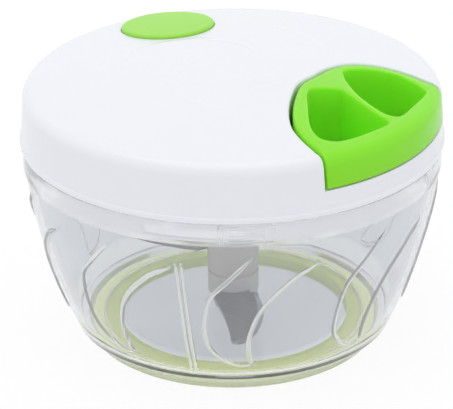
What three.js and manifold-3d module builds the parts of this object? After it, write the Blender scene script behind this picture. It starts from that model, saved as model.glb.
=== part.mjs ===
// Hand-pulled food chopper: clear bowl, blade post, and a domed lid that holds a cord drum and its spring.
// Millimetres, +Z up. The origin is the middle of the foot ring's underside. The cord is pulled along +X.

import * as THREE from 'three';
import { mergeVertices } from 'three/addons/utils/BufferGeometryUtils.js';
import Module from 'manifold-3d';

const wasm = await Module();
wasm.setup();

// Shared fits
const fitGap = 0.3; // between faces that touch or slide
const runGap = 0.4; // round a turning shaft
const overrun = 5; // how far a cutter passes the face it cuts
const mergeTolerance = 0.0001;
const roundSteps = 56;
const smallRoundSteps = 16;

// Lid, outside
const lidRadius = 62.5;
const skirtDraft = 1.2; // how far the shoulder stands in from the rim
const seamHeight = 62.05;
const skirtHeight = 17.05; // seam to shoulder
const shoulderFillet = 3.8;
const crownRise = 4.5;
const lidWall = 2;
const lipHeight = 1.8;
const lipStep = 0.4;

// Bowl
const bowlWall = 2.2;
const bandHeight = 6.8;
const bandProud = 0.5;
const bowlBaseRadius = 47.6;
const bowlBaseHeight = 4.8;
const floorHeight = 4.2; // underside of the floor
const floorThickness = 2.2;
const bowlBulge = 2.35; // how far the wall's side swells past a straight cone
const floorBossRadius = 5.5;
const floorBossHeight = 4.2;

// Foot ring
const baseStep = 3; // from the bowl's wall in to its foot
const baseDraft = 0.8;
const baseEdge = 0.8;
const baseLift = 0.5; // the green ring stands out below the bowl's foot
const footRadius = 39.4;
const footWidth = 4.9;
const footEdge = 0.5;

// Bayonet
const lugAngle = -51.5;
const lugCount = 4;
const lugWidth = 12.4;
const lugDepth = 1.5;
const lugHeight = 2.4;
const lugBelowSeam = 2.8;
const slotSideGap = 1.2;
const trackAngle = 20;

// Blade post, pin and blades
const postRadius = 7.7;
const postShoulder = 2.5;
const neckRadius = 5;
const neckHeight = 3;
const neckBelowSocket = 0.65;
const driveAcrossCorners = 6.8;
const driveLength = 10;
const pinRadius = 2;
const pinCrown = 1;
const pinLength = 11;
const pinDepth = 2.2;
const bladeThickness = 1;
const bladeReach = 38;
const bladeTongue = 3.5;
const bladeTongueWidth = 9;
const bladeWidth = 14;
const firstBladeAbovePost = 1.6;
const lastBladeBelowShoulder = 4.9;
const bladeTurn = 120;
const bladeNames = ['lower', 'middle', 'upper'];

// Lower cover
const coverPlate = 1.8;
const plugDepth = 7.05;
const plugWall = 1.8;
const arborRadius = 8;
const arborHeight = 6.45;
const bearingDepth = 8;

// Drum, spring and socket
const drumBehindEyelet = 0.075;
const drumFlange = 1.2;
const grooveDepth = 2.95;
const drumCoreWall = 1.8;
const grooveHeight = 6.8;
const potWall = 1.9;
const hubRadius = 5.2;
const hubAboveWeb = 4.5;
const hubBelowWeb = 4;
const springThickness = 0.5;
const springHeight = 5;
const springTurns = 5;
const springHook = 1.6;
const socketFlangeRadius = 7.6;
const socketFlange = 1.2;
const socketBelowFlange = 3;
const socketWeb = 4;
const keyRadius = 3.6;
const keyLength = 3;
const spindleRadius = 2;
const spindleBossRadius = 4.6;
const spindleBossDrop = 3.6;

// Screws
const screwShankRadius = 1.3;
const screwHeadRadius = 2.6;
const screwHeadHeight = 1.6;
const screwHeadEdgeShare = 0.7;
const screwCrossShares = { arm: 0.6, half: 0.13 }; // of the head's radius
const screwLength = 9;
const screwInsidePlug = 6.7;
const screwAngles = [55, 125, 235, 305];
const screwBossRadius = 3.6;
const washerRadius = 3;
const washerThickness = 0.5;

// Handle and its pocket
const pocketGap = 1;
const pocketWall = 1.5;
const sillAbovePlate = 5.15; // the skirt's edge under the handle
const handleFloor = 1.7;
const pullSlope = 16; // degrees over the table
const deepFloor = 1;
const deepWall = 1.2;
const handleDeepShares = { far: 0.464, near: -0.384 };
const handleOutlineShares = [
  [0.614, 0.488], [0.486, 0.445], [0.405, 0.365], [0.374, 0.26], [0.374, 0.15], [0.374, 0.03],
  [0.418, -0.086], [0.498, -0.229], [0.592, -0.344], [0.677, -0.403], [0.781, -0.451],
];
const handleCornerShares = { far: [0.84, 0.488], near: [0.851, -0.483] };
const nearWellShares = [
  [0.438, 0], [0.462, 0.045], [0.522, 0.093], [0.546, 0.101], [0.64, 0.067], [0.77, 0.018],
  [0.866, -0.01], [0.88, -0.026], [0.862, -0.17], [0.83, -0.28], [0.794, -0.336], [0.735, -0.354],
  [0.655, -0.308], [0.53, -0.15],
];
const farWellShares = [
  [0.436, 0.298], [0.446, 0.272], [0.5, 0.21], [0.62, 0.118], [0.745, 0.06], [0.83, 0.042],
  [0.872, 0.058], [0.881, 0.088], [0.866, 0.2], [0.842, 0.335], [0.82, 0.39], [0.79, 0.412],
  [0.714, 0.436], [0.608, 0.442], [0.515, 0.402], [0.456, 0.345],
];
const knotCavityRadius = 3;
const knotCavityAboveCord = 3.15;
const knotRadius = 2.2;
const knotInsideHandle = 5.625;

// Cord
const cordRadius = 0.75;
const cordSide = 9; // distance of the cord's line from the lid's middle plane
const windingTurns = 2.5;
const windingGap = 0.45;
const windingStepsPerTurn = 24;
const windingSides = 6;
const cordSides = 8;
const eyeletRadius = 2.2;
const eyeletFlangeRadius = 2.8;
const eyeletFlange = 0.6;
const eyeletBoreGap = 0.4;
const cordBend = 1.2; // the cord bends this far before the eyelet

// Badge
const badgeRadius = 14.2;
const badgeOverShoulder = 0.3;
const badgeAngle = 152;
const badgeProud = 1;
const badgeRecess = 0.9;
const pegRadius = 1.4;
const pegLength = 3;
const pegSpacing = 15;

// Levels worked out from the sizes above
const shoulderRadius = lidRadius - skirtDraft;
const shoulderHeight = seamHeight + skirtHeight;
const rimHeight = seamHeight - fitGap;
const bandBottom = rimHeight - bandHeight;
const bowlTopRadius = lidRadius - lipStep - bandProud - fitGap;
const rimInnerRadius = bowlTopRadius - bowlWall;
const floorTop = floorHeight + floorThickness;
const bossTop = floorTop + floorBossHeight;
const baseTopRadius = bowlBaseRadius - baseStep;
const baseRadius = baseTopRadius - baseDraft;
const footInnerRadius = footRadius - footWidth;
const plateTop = seamHeight + coverPlate;
const arborTop = plateTop + arborHeight;
const webBottom = arborTop + fitGap;
const grooveBottom = webBottom + drumFlange;
const grooveTop = grooveBottom + grooveHeight;
const drumTop = grooveTop + drumFlange;
const hubTop = grooveBottom + hubAboveWeb;
const hubBottom = webBottom - hubBelowWeb;
const boreRadius = hubRadius + runGap;
const bearingBottom = seamHeight - bearingDepth;
const socketTop = hubBottom - fitGap;
const socketFlangeTop = bearingBottom - fitGap;
const socketBottom = socketFlangeTop - socketFlange - socketBelowFlange;
const socketCavityTop = socketTop - socketWeb;
const driveBottom = socketBottom - neckBelowSocket;
const driveTop = driveBottom + driveLength;
const postBottom = bossTop + fitGap;
const postTop = driveBottom - neckHeight;
const firstBladeLevel = postBottom + firstBladeAbovePost;
const lastBladeLevel = postTop - postShoulder - lastBladeBelowShoulder - bladeThickness;
const plugRadius = rimInnerRadius - fitGap - fitGap;
const screwCircleRadius = plugRadius - plugWall - screwInsidePlug;
const sillHeight = plateTop + sillAbovePlate;
const handleBottom = sillHeight + fitGap;
const deepBottom = plateTop + fitGap;
const pocketWallFace = handleOutlineShares[3][0] * lidRadius - pocketGap;
const sillEdge = Math.sqrt((shoulderRadius - lidWall) ** 2 - (handleDeepShares.far * lidRadius) ** 2);
const knotPlace = pocketWallFace + pocketGap + knotInsideHandle;
const eyeletInnerFace = pocketWallFace - pocketWall - eyeletFlange - fitGap;
const eyeletOuterFace = pocketWallFace + fitGap;
const drumRadius = eyeletInnerFace - drumBehindEyelet;
const drumCoreRadius = drumRadius - grooveDepth;
const windingRadius = drumCoreRadius + fitGap + cordRadius;
const cordHeight = grooveBottom + fitGap + cordRadius;
const knotCavityTop = cordHeight + knotCavityAboveCord;
const domeRadius = shoulderRadius - shoulderFillet;
const capRadius = (domeRadius ** 2 + crownRise ** 2) / (2 * crownRise);
const crownHeight = shoulderHeight + crownRise;
const spindleBossBottom = crownHeight - lidWall - spindleBossDrop;
const badgePlace = domeRadius + badgeOverShoulder - badgeRadius;

const radians = THREE.MathUtils.degToRad;

function polar(radius, degrees) {
  return [radius * Math.cos(radians(degrees)), radius * Math.sin(radians(degrees))];
}

// Geometry with shared corners, no flat triangles, and faces that point out
function closed(geometry) {
  geometry.deleteAttribute('normal');
  geometry.deleteAttribute('uv');
  const merged = mergeVertices(geometry, mergeTolerance);
  const place = merged.getAttribute('position');
  const index = merged.getIndex().array;
  const kept = [];
  let volume = 0;
  const [a, b, c] = [new THREE.Vector3(), new THREE.Vector3(), new THREE.Vector3()];
  for (let i = 0; i < index.length; i += 3) {
    const [p, q, r] = [index[i], index[i + 1], index[i + 2]];
    if (p === q || q === r || r === p) continue;
    kept.push(p, q, r);
    a.fromBufferAttribute(place, p);
    b.fromBufferAttribute(place, q);
    c.fromBufferAttribute(place, r);
    volume += a.dot(b.cross(c));
  }
  if (volume < 0) kept.reverse();
  merged.setIndex(kept);
  return merged;
}

function solid(geometry) {
  const shape = closed(geometry);
  const vertProperties = new Float32Array(shape.getAttribute('position').array);
  const triVerts = new Uint32Array(shape.getIndex().array);
  return new wasm.Manifold(new wasm.Mesh({ numProp: 3, vertProperties, triVerts }));
}

function surface(manifold) {
  const mesh = manifold.getMesh();
  const geometry = new THREE.BufferGeometry();
  geometry.setAttribute('position', new THREE.BufferAttribute(new Float32Array(mesh.vertProperties), 3));
  geometry.setIndex(new THREE.BufferAttribute(new Uint32Array(mesh.triVerts), 1));
  return geometry;
}

// A profile of [radius, height] corners turned round +Z
function revolved(profile, steps = roundSteps) {
  const points = profile.map(([r, z]) => new THREE.Vector2(r, z));
  const geometry = new THREE.LatheGeometry(points, steps);
  geometry.rotateX(Math.PI / 2);
  return solid(geometry);
}

// A closed profile that keeps clear of the axis
function ring(profile, steps = roundSteps) {
  return revolved([...profile, profile[0]], steps);
}

function disc(radius, low, high, steps = roundSteps) {
  return revolved([[0, low], [radius, low], [radius, high], [0, high]], steps);
}

function tube(inner, outer, low, high, steps = roundSteps) {
  return ring([[inner, low], [outer, low], [outer, high], [inner, high]], steps);
}

function prism(outline, low, high) {
  const shape = new THREE.Shape(outline.map(([x, y]) => new THREE.Vector2(x, y)));
  const geometry = new THREE.ExtrudeGeometry(shape, { depth: high - low, bevelEnabled: false });
  geometry.translate(0, 0, low);
  return solid(geometry);
}

function block(from, to) {
  const size = to.map((value, i) => value - from[i]);
  const geometry = new THREE.BoxGeometry(...size);
  geometry.translate(...from.map((value, i) => value + size[i] / 2));
  return solid(geometry);
}

// A round bar from one point to another
function bar(from, to, radius, steps = smallRoundSteps) {
  const start = new THREE.Vector3(...from);
  const along = new THREE.Vector3(...to).sub(start);
  const length = along.length();
  const geometry = new THREE.CylinderGeometry(radius, radius, length, steps);
  geometry.translate(0, length / 2, 0);
  const turn = new THREE.Quaternion();
  geometry.applyQuaternion(turn.setFromUnitVectors(THREE.Object3D.DEFAULT_UP, along.normalize()));
  geometry.translate(...from);
  return solid(geometry);
}

function regular(sides, cornerRadius, turn = 0) {
  return Array.from({ length: sides }, (_, i) => polar(cornerRadius, turn + (i * 360) / sides));
}

function smoothLoop(shares, size, steps) {
  const points = shares.map(([x, y]) => new THREE.Vector3(x * size, y * size, 0));
  const curve = new THREE.CatmullRomCurve3(points, true, 'centripetal');
  return curve.getPoints(steps).slice(0, -1).map((point) => [point.x, point.y]);
}

// A tube of any section along a curve
function swept(curve, section, steps) {
  const shape = new THREE.Shape(section.map(([x, y]) => new THREE.Vector2(x, y)));
  const geometry = new THREE.ExtrudeGeometry(shape, { steps, extrudePath: curve, bevelEnabled: false });
  return solid(geometry);
}

// Lid outside profile, from the crown down to the seam, moved outward by an offset
function lidProfile(offset) {
  const centre = crownHeight - capRadius;
  const rim = Math.asin(domeRadius / capRadius);
  const domeSteps = 5;
  const filletSteps = 4;
  const profile = [];
  for (let i = 0; i <= domeSteps; i += 1) {
    const angle = (rim * i) / domeSteps;
    profile.push([(capRadius + offset) * Math.sin(angle), centre + (capRadius + offset) * Math.cos(angle)]);
  }
  for (let i = 1; i <= filletSteps; i += 1) {
    const angle = (Math.PI / 2 - rim) * (1 - i / filletSteps);
    profile.push([
      domeRadius + (shoulderFillet + offset) * Math.cos(angle),
      shoulderHeight - shoulderFillet + (shoulderFillet + offset) * Math.sin(angle),
    ]);
  }
  return profile;
}

// Everything inside the lid's outer face, down to a level
function lidBody(offset, bottom) {
  return revolved([...lidProfile(offset), [lidRadius - lipStep + offset, bottom], [0, bottom]]);
}

function lidShell() {
  const lipTop = seamHeight + lipHeight;
  const outer = [
    ...lidProfile(0), [lidRadius - lipStep, lipTop], [lidRadius, lipTop - lipStep], [lidRadius, seamHeight],
  ];
  const inner = lidProfile(-lidWall).reverse();
  return revolved([...outer, [lidRadius - lipStep - lidWall, seamHeight], ...inner]);
}

// Inner side of the handle, from its far corner round to its near one
function handleSide(offset) {
  const { far, near } = handleCornerShares;
  const points = [far, ...handleOutlineShares, near].map(([x, y]) => new THREE.Vector3(x, y, 0));
  points.forEach((point) => point.multiplyScalar(lidRadius));
  const curve = new THREE.CatmullRomCurve3(points, false, 'centripetal');
  const steps = 30;
  return Array.from({ length: steps + 1 }, (_, i) => {
    const at = curve.getPoint(i / steps);
    const along = curve.getTangent(i / steps);
    return [at.x + along.y * offset, at.y - along.x * offset];
  });
}

// The same side carried straight out past the rim
function pocketOutline(offset) {
  const side = handleSide(offset);
  const reach = lidRadius + overrun;
  return [[reach, side[0][1]], ...side, [reach, side[side.length - 1][1]]];
}

function topCover() {
  const roof = crownHeight - lidWall / 2;
  const pocketBottom = plateTop + fitGap;
  const inside = lidBody(-lidWall / 2, pocketBottom);
  const room = prism(pocketOutline(pocketGap), pocketBottom - overrun, crownHeight + overrun);
  const walls = prism(pocketOutline(pocketGap + pocketWall), pocketBottom, crownHeight).subtract(room);
  let cover = lidShell().add(walls.intersect(inside));
  const spindleBoss = disc(spindleBossRadius, spindleBossBottom, roof, smallRoundSteps);
  cover = cover.add(spindleBoss);
  for (const angle of screwAngles) {
    const [x, y] = polar(screwCircleRadius, angle);
    const foot = plateTop + fitGap;
    const boss = bar([x, y, foot], [x, y, crownHeight], screwBossRadius).intersect(inside);
    cover = cover.add(boss);
    const tip = seamHeight + screwLength;
    cover = cover.subtract(bar([x, y, foot - overrun], [x, y, tip], screwShankRadius + fitGap / 2));
  }
  cover = cover.subtract(prism(pocketOutline(pocketGap), sillHeight, crownHeight + overrun));
  const spindleTop = crownHeight - lidWall + fitGap;
  cover = cover.subtract(
    bar([0, 0, spindleBossBottom - overrun], [0, 0, spindleTop], spindleRadius + fitGap / 2),
  );
  cover = cover.subtract(bar(
    [eyeletInnerFace - overrun, cordSide, cordHeight],
    [pocketWallFace + overrun, cordSide, cordHeight],
    eyeletRadius + fitGap,
  ));
  const recess = badgePrism(fitGap).subtract(lidBody(-badgeRecess, seamHeight));
  cover = cover.subtract(recess);
  for (const [x, y] of pegPlaces()) {
    const radius = pegRadius + fitGap;
    cover = cover.subtract(bar([x, y, shoulderHeight - pegLength - overrun], [x, y, crownHeight], radius));
  }
  return cover;
}

function badgePrism(margin) {
  const [x, y] = polar(badgePlace, badgeAngle);
  const steps = 40;
  const outline = regular(steps, badgeRadius + margin).map(([u, v]) => [x + u, y + v]);
  return prism(outline, seamHeight, crownHeight + overrun);
}

function pegPlaces() {
  const [x, y] = polar(badgePlace, badgeAngle);
  const [u, v] = polar(pegSpacing / 2, badgeAngle + 90);
  return [[x + u, y + v], [x - u, y - v]];
}

function lidBadge() {
  const plate = badgePrism(0).intersect(lidBody(badgeProud, seamHeight));
  let badge = plate.subtract(lidBody(fitGap - badgeRecess, seamHeight - overrun));
  const roof = lidBody(0, seamHeight);
  for (const [x, y] of pegPlaces()) {
    const foot = shoulderHeight - pegLength + lidWall;
    badge = badge.add(bar([x, y, foot], [x, y, crownHeight], pegRadius).intersect(roof));
  }
  return badge;
}

// The handle's deep part behind the skirt, under a slope that runs along the pull
function deepPart(inset, low, high) {
  const { far, near } = handleDeepShares;
  const slope = radians(pullSlope);
  const past = sillEdge - pocketGap - inset / Math.sin(slope);
  const edge = (z) => past - (sillHeight - z) / Math.tan(slope);
  const side = [[0, low], [edge(low), low], [edge(high), high], [0, high]];
  return prism(side, inset - far * lidRadius, -near * lidRadius - inset).rotate([90, 0, 0]);
}

function pullHandle() {
  const wellFloor = handleBottom + handleFloor;
  const deepWellFloor = deepBottom + deepFloor;
  const upper = prism(pocketOutline(0), handleBottom, crownHeight + overrun);
  const lower = prism(pocketOutline(0), deepBottom, wellFloor);
  let handle = upper.add(lower.intersect(deepPart(0, deepBottom, wellFloor)));
  handle = handle.intersect(lidBody(0, deepBottom - overrun));
  const steps = 36;
  for (const shares of [nearWellShares, farWellShares]) {
    const outline = smoothLoop(shares, lidRadius, steps);
    handle = handle.subtract(prism(outline, wellFloor, crownHeight + overrun));
    const deepWell = prism(outline, deepWellFloor, wellFloor + overrun);
    handle = handle.subtract(deepWell.intersect(deepPart(deepWall, deepWellFloor, wellFloor + overrun)));
  }
  const cavity = disc(knotCavityRadius, deepBottom - overrun, knotCavityTop, smallRoundSteps);
  handle = handle.subtract(cavity.translate([knotPlace, cordSide, 0]));
  const hole = bar([0, cordSide, cordHeight], [knotPlace, cordSide, cordHeight], cordRadius + fitGap);
  return handle.subtract(hole);
}

function bowlWallProfile(inset) {
  const steps = 7;
  const profile = [];
  for (let i = 0; i <= steps; i += 1) {
    const t = i / steps;
    const radius = bowlBaseRadius + (bowlTopRadius - bowlBaseRadius) * t + bowlBulge * 4 * t * (1 - t);
    profile.push([radius - inset, bowlBaseHeight + (bandBottom - bowlBaseHeight) * t]);
  }
  return profile;
}

function bowl() {
  const bandRadius = bowlTopRadius + bandProud;
  const outer = [...bowlWallProfile(0), [bandRadius, bandBottom], [bandRadius, rimHeight]];
  const inner = bowlWallProfile(bowlWall).filter(([, z]) => z > floorTop + floorThickness).reverse();
  const cornerRadius = inner[inner.length - 1][0] - bowlWall;
  const recessRadius = footRadius + fitGap;
  const shell = revolved([
    [0, floorHeight], [recessRadius, floorHeight], [recessRadius, baseLift],
    [baseRadius - baseEdge, baseLift], [baseRadius, baseLift + baseEdge],
    [baseTopRadius, bowlBaseHeight], ...outer,
    [rimInnerRadius, rimHeight], ...inner, [cornerRadius, floorTop], [floorBossRadius, floorTop],
    [floorBossRadius, bossTop], [0, bossTop],
  ]);
  const pinHoleBottom = bossTop - pinDepth - fitGap;
  const pinHole = bar([0, 0, pinHoleBottom], [0, 0, bossTop + overrun], pinRadius + fitGap / 2);
  return shell.subtract(pinHole).subtract(bayonetGrooves());
}

// A sector of a ring, measured either side of a middle angle
function sector(inner, outer, from, to, low, high) {
  const steps = 6;
  const outline = [];
  for (let i = 0; i <= steps; i += 1) outline.push(polar(outer, from + ((to - from) * i) / steps));
  for (let i = steps; i >= 0; i -= 1) outline.push(polar(inner, from + ((to - from) * i) / steps));
  return prism(outline, low, high);
}

function lugHalfAngle(width) {
  return THREE.MathUtils.radToDeg(width / 2 / plugRadius);
}

function lugAngles() {
  return Array.from({ length: lugCount }, (_, i) => lugAngle + (i * 360) / lugCount);
}

// Each groove lets a lug drop in, then runs sideways to lock
function bayonetGrooves() {
  const depth = plugRadius + lugDepth + fitGap;
  const inner = rimInnerRadius - overrun;
  const half = lugHalfAngle(lugWidth + 2 * slotSideGap);
  const lugTop = seamHeight - lugBelowSeam;
  const lugBottom = lugTop - lugHeight;
  const grooves = lugAngles().map((angle) => {
    const low = lugBottom - fitGap;
    const drop = sector(inner, depth, angle - half, angle + half, low, rimHeight + overrun);
    const reach = angle + half + trackAngle;
    return drop.add(sector(inner, depth, angle, reach, low, lugTop + fitGap));
  });
  return grooves.reduce((all, groove) => all.add(groove));
}

function footRing() {
  const top = floorHeight - fitGap;
  return ring([
    [footInnerRadius + footEdge, 0], [footRadius - footEdge, 0], [footRadius, footEdge], [footRadius, top],
    [footInnerRadius, top], [footInnerRadius, footEdge],
  ]);
}

function bladeLevel(i) {
  return firstBladeLevel + ((lastBladeLevel - firstBladeLevel) * i) / (bladeNames.length - 1);
}

function bladeDirection(i) {
  return lugAngle - bladeTurn * i;
}

function turned(manifold, degrees) {
  return manifold.rotate([0, 0, degrees]);
}

// Sickle outline: tongue at the post, curved edge, blunt tip
function bladeOutline() {
  const root = postRadius + fitGap;
  const length = bladeReach - root;
  const inner = postRadius - bladeTongue;
  const half = bladeTongueWidth / 2;
  const edgeShares = [
    [0, 0.5], [0.2, 0.56], [0.45, 0.54], [0.7, 0.42], [0.9, 0.22], [1, 0],
    [0.97, -0.17], [0.8, -0.2], [0.55, -0.26], [0.3, -0.35], [0.12, -0.44], [0, -0.5],
  ];
  return [
    [inner, half], [root, half],
    ...edgeShares.map(([along, across]) => [root + length * along, bladeWidth * across]),
    [root, -half], [inner, -half],
  ];
}

function blade(i) {
  const low = bladeLevel(i);
  return turned(prism(bladeOutline().reverse(), low, low + bladeThickness), bladeDirection(i));
}

function bladePost() {
  const barrel = revolved([
    [0, postBottom], [postRadius, postBottom], [postRadius, postTop - postShoulder],
    [neckRadius, postTop], [neckRadius, driveBottom], [0, driveBottom],
  ], 40);
  let post = barrel.add(prism(regular(6, driveAcrossCorners / 2), driveBottom - fitGap, driveTop));
  const pinTop = bossTop - pinDepth + pinLength;
  post = post.subtract(bar([0, 0, postBottom - overrun], [0, 0, pinTop + fitGap], pinRadius + runGap));
  for (let i = 0; i < bladeNames.length; i += 1) {
    const low = bladeLevel(i) - fitGap;
    const high = bladeLevel(i) + bladeThickness + fitGap;
    const half = bladeTongueWidth / 2 + fitGap;
    const slot = block([postRadius - bladeTongue - fitGap, -half, low], [postRadius + overrun, half, high]);
    post = post.subtract(turned(slot, bladeDirection(i)));
  }
  return post;
}

function pivotPin() {
  const bottom = bossTop - pinDepth;
  const top = bottom + pinLength;
  return revolved([
    [0, bottom], [pinRadius, bottom], [pinRadius, top - pinCrown], [pinRadius - pinCrown, top], [0, top],
  ], smallRoundSteps);
}

function lowerCover() {
  const plateRadius = lidRadius - lipStep - lidWall - fitGap;
  const plugBottom = seamHeight - plugDepth;
  let cover = ring([
    [boreRadius, bearingBottom], [arborRadius, bearingBottom], [arborRadius, seamHeight],
    [plugRadius - plugWall, seamHeight], [plugRadius - plugWall, plugBottom], [plugRadius, plugBottom],
    [plugRadius, seamHeight], [plateRadius, seamHeight], [plateRadius, plateTop],
    [arborRadius, plateTop], [arborRadius, arborTop], [boreRadius, arborTop],
  ]);
  const half = lugHalfAngle(lugWidth);
  const lugTop = seamHeight - lugBelowSeam;
  for (const angle of lugAngles()) {
    const inner = plugRadius - plugWall / 2;
    const outer = plugRadius + lugDepth;
    cover = cover.add(sector(inner, outer, angle - half, angle + half, lugTop - lugHeight, lugTop));
  }
  for (const angle of screwAngles) {
    const [x, y] = polar(screwCircleRadius, angle);
    const radius = screwShankRadius + fitGap;
    cover = cover.subtract(bar([x, y, seamHeight - overrun], [x, y, plateTop + overrun], radius));
  }
  const slotHalf = springThickness / 2 + fitGap;
  const slot = block(
    [0, -slotHalf, springBottom() - fitGap],
    [arborRadius + overrun, slotHalf, arborTop + overrun],
  );
  return cover.subtract(slot);
}

function springBottom() {
  return arborTop - springHeight - runGap;
}

// Flat strip wound from a hook in the arbor's slot out to the pot's wall
function mainspring() {
  const inner = arborRadius + fitGap + springThickness / 2;
  const outer = drumRadius - potWall - fitGap - springThickness / 2;
  const stepsPerTurn = 18;
  const count = springTurns * stepsPerTurn;
  const centres = [[arborRadius - springHook, 0], [inner, 0]];
  for (let i = 1; i <= count; i += 1) {
    centres.push(polar(inner + ((outer - inner) * i) / count, (360 * i) / stepsPerTurn));
  }
  const sides = [1, -1].map((sign) => centres.map(([x, y], i) => {
    const [fromX, fromY] = centres[Math.max(i - 1, 0)];
    const [toX, toY] = centres[Math.min(i + 1, centres.length - 1)];
    const length = Math.hypot(toX - fromX, toY - fromY);
    const shift = (sign * springThickness) / 2 / length;
    return [x + (toY - fromY) * shift, y - (toX - fromX) * shift];
  }));
  const low = springBottom();
  return prism([...sides[0], ...sides[1].reverse()], low, low + springHeight);
}

function cordDrum() {
  const potRadius = drumRadius - potWall;
  const coreInner = drumCoreRadius - drumCoreWall;
  const potBottom = plateTop + runGap;
  const body = revolved([
    [0, hubBottom], [hubRadius, hubBottom], [hubRadius, webBottom], [potRadius, webBottom],
    [potRadius, potBottom], [drumRadius, potBottom], [drumRadius, grooveBottom],
    [drumCoreRadius, grooveBottom], [drumCoreRadius, grooveTop], [drumRadius, grooveTop],
    [drumRadius, drumTop], [coreInner, drumTop], [coreInner, grooveBottom],
    [hubRadius, grooveBottom], [hubRadius, hubTop], [0, hubTop],
  ]);
  const spindleHole = bar([0, 0, grooveBottom], [0, 0, hubTop + overrun], spindleRadius + runGap);
  const keyTop = hubBottom + keyLength;
  const keyHole = prism(regular(6, keyRadius + fitGap), hubBottom - overrun, keyTop + fitGap);
  const screwTip = screwSeat() + screwLength;
  const screwHole = bar([0, 0, hubBottom - overrun], [0, 0, screwTip], screwShankRadius + fitGap / 2);
  return body.subtract(spindleHole).subtract(keyHole).subtract(screwHole);
}

// Underside of the socket's web, less the washer, where the screw head bears
function screwSeat() {
  return socketCavityTop - washerThickness - fitGap - fitGap;
}

function driveSocket() {
  const flangeBottom = socketFlangeTop - socketFlange;
  const body = revolved([
    [0, socketBottom], [hubRadius, socketBottom], [hubRadius, flangeBottom],
    [socketFlangeRadius, flangeBottom], [socketFlangeRadius, socketFlangeTop],
    [hubRadius, socketFlangeTop], [hubRadius, socketTop], [0, socketTop],
  ], 40);
  const key = prism(regular(6, keyRadius), socketTop - fitGap, hubBottom + keyLength);
  const across = driveAcrossCorners / 2 + runGap;
  const cavity = prism(regular(6, across), socketBottom - overrun, socketCavityTop);
  const screwRoom = bar(
    [0, 0, driveTop + fitGap], [0, 0, socketCavityTop], washerRadius + fitGap,
  );
  const holeTop = hubBottom + keyLength + overrun;
  const hole = bar([0, 0, socketBottom], [0, 0, holeTop], screwShankRadius + fitGap);
  return body.add(key).subtract(cavity).subtract(screwRoom).subtract(hole);
}

// Pan-head screw that points up, its head's bearing face at the given level
function screw(seat) {
  const low = seat - screwHeadHeight;
  const point = screwShankRadius;
  const driveDepth = screwHeadHeight / 2;
  const body = revolved([
    [0, low], [screwHeadRadius * screwHeadEdgeShare, low], [screwHeadRadius, low + screwHeadHeight / 2],
    [screwHeadRadius, seat], [screwShankRadius, seat],
    [screwShankRadius, seat + screwLength - point - fitGap], [0, seat + screwLength - fitGap],
  ], smallRoundSteps);
  const arm = screwHeadRadius * screwCrossShares.arm;
  const half = screwHeadRadius * screwCrossShares.half;
  const cross = block([-arm, -half, low - overrun], [arm, half, low + driveDepth]);
  return body.subtract(cross).subtract(turned(cross, 90));
}

function washer() {
  const top = socketCavityTop - fitGap;
  return tube(screwShankRadius + fitGap, washerRadius, top - washerThickness, top, smallRoundSteps);
}

function spindlePin() {
  const bottom = grooveBottom + fitGap;
  return disc(spindleRadius, bottom, crownHeight - lidWall, smallRoundSteps);
}

function cordEyelet() {
  const bore = cordRadius + eyeletBoreGap;
  const length = eyeletOuterFace - eyeletInnerFace;
  const body = ring([
    [bore, 0], [eyeletFlangeRadius, 0], [eyeletFlangeRadius, eyeletFlange], [eyeletRadius, eyeletFlange],
    [eyeletRadius, length], [bore, length],
  ], smallRoundSteps);
  return body.rotate([0, 90, 0]).translate([eyeletInnerFace, cordSide, cordHeight]);
}

// Where the cord leaves the drum, so that it runs straight to its bend before the eyelet
function cordBendPoint() {
  return [eyeletInnerFace - cordBend, cordSide];
}

function leavingAngle() {
  const [x, y] = cordBendPoint();
  return THREE.MathUtils.radToDeg(Math.atan2(y, x) + Math.acos(windingRadius / Math.hypot(x, y)));
}

function windingPitch() {
  return 2 * cordRadius + windingGap;
}

class Winding extends THREE.Curve {
  getPoint(t, target = new THREE.Vector3()) {
    const turn = windingTurns * t;
    const [x, y] = polar(windingRadius, leavingAngle() + 360 * turn);
    return target.set(x, y, cordHeight + windingPitch() * turn);
  }
}

function cordWinding() {
  return swept(new Winding(), regular(windingSides, cordRadius), windingTurns * windingStepsPerTurn);
}

// Least distance between the faces of neighbouring turns, measured on points of the winding
function windingLeastGap() {
  const points = new Winding().getPoints(windingTurns * windingStepsPerTurn);
  let least = Infinity;
  points.forEach((from, i) => {
    points.slice(i + windingStepsPerTurn / 2).forEach((to) => {
      least = Math.min(least, from.distanceTo(to));
    });
  });
  return least - 2 * cordRadius;
}

// Cord from just outside the winding's turns, round its bend and through the eyelet
function cordLead() {
  const [bendX, bendY] = cordBendPoint();
  const angle = leavingAngle();
  const [x, y] = polar(windingRadius, angle);
  const [alongX, alongY] = polar(1, angle - 90);
  const reach = Math.hypot(bendX - x, bendY - y);
  const onLine = (distance) => new THREE.Vector3(x + alongX * distance, y + alongY * distance, cordHeight);
  const end = pocketWallFace;
  const clearRadius = windingRadius + cordRadius + fitGap;
  const start = Math.sqrt(clearRadius ** 2 - windingRadius ** 2);
  const points = [
    onLine(start), onLine(reach - cordRadius),
    new THREE.Vector3(bendX + cordRadius, cordSide, cordHeight),
    new THREE.Vector3((bendX + end) / 2, cordSide, cordHeight),
    new THREE.Vector3(end, cordSide, cordHeight),
  ];
  const steps = 12;
  const curve = new THREE.CatmullRomCurve3(points, false, 'centripetal');
  const lead = swept(curve, regular(cordSides, cordRadius), steps);
  return lead.subtract(disc(clearRadius, grooveBottom, grooveTop));
}

function cordRun() {
  const start = pocketWallFace + fitGap;
  const end = knotPlace - knotRadius - fitGap;
  return bar([start, cordSide, cordHeight], [end, cordSide, cordHeight], cordRadius, cordSides);
}

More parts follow.
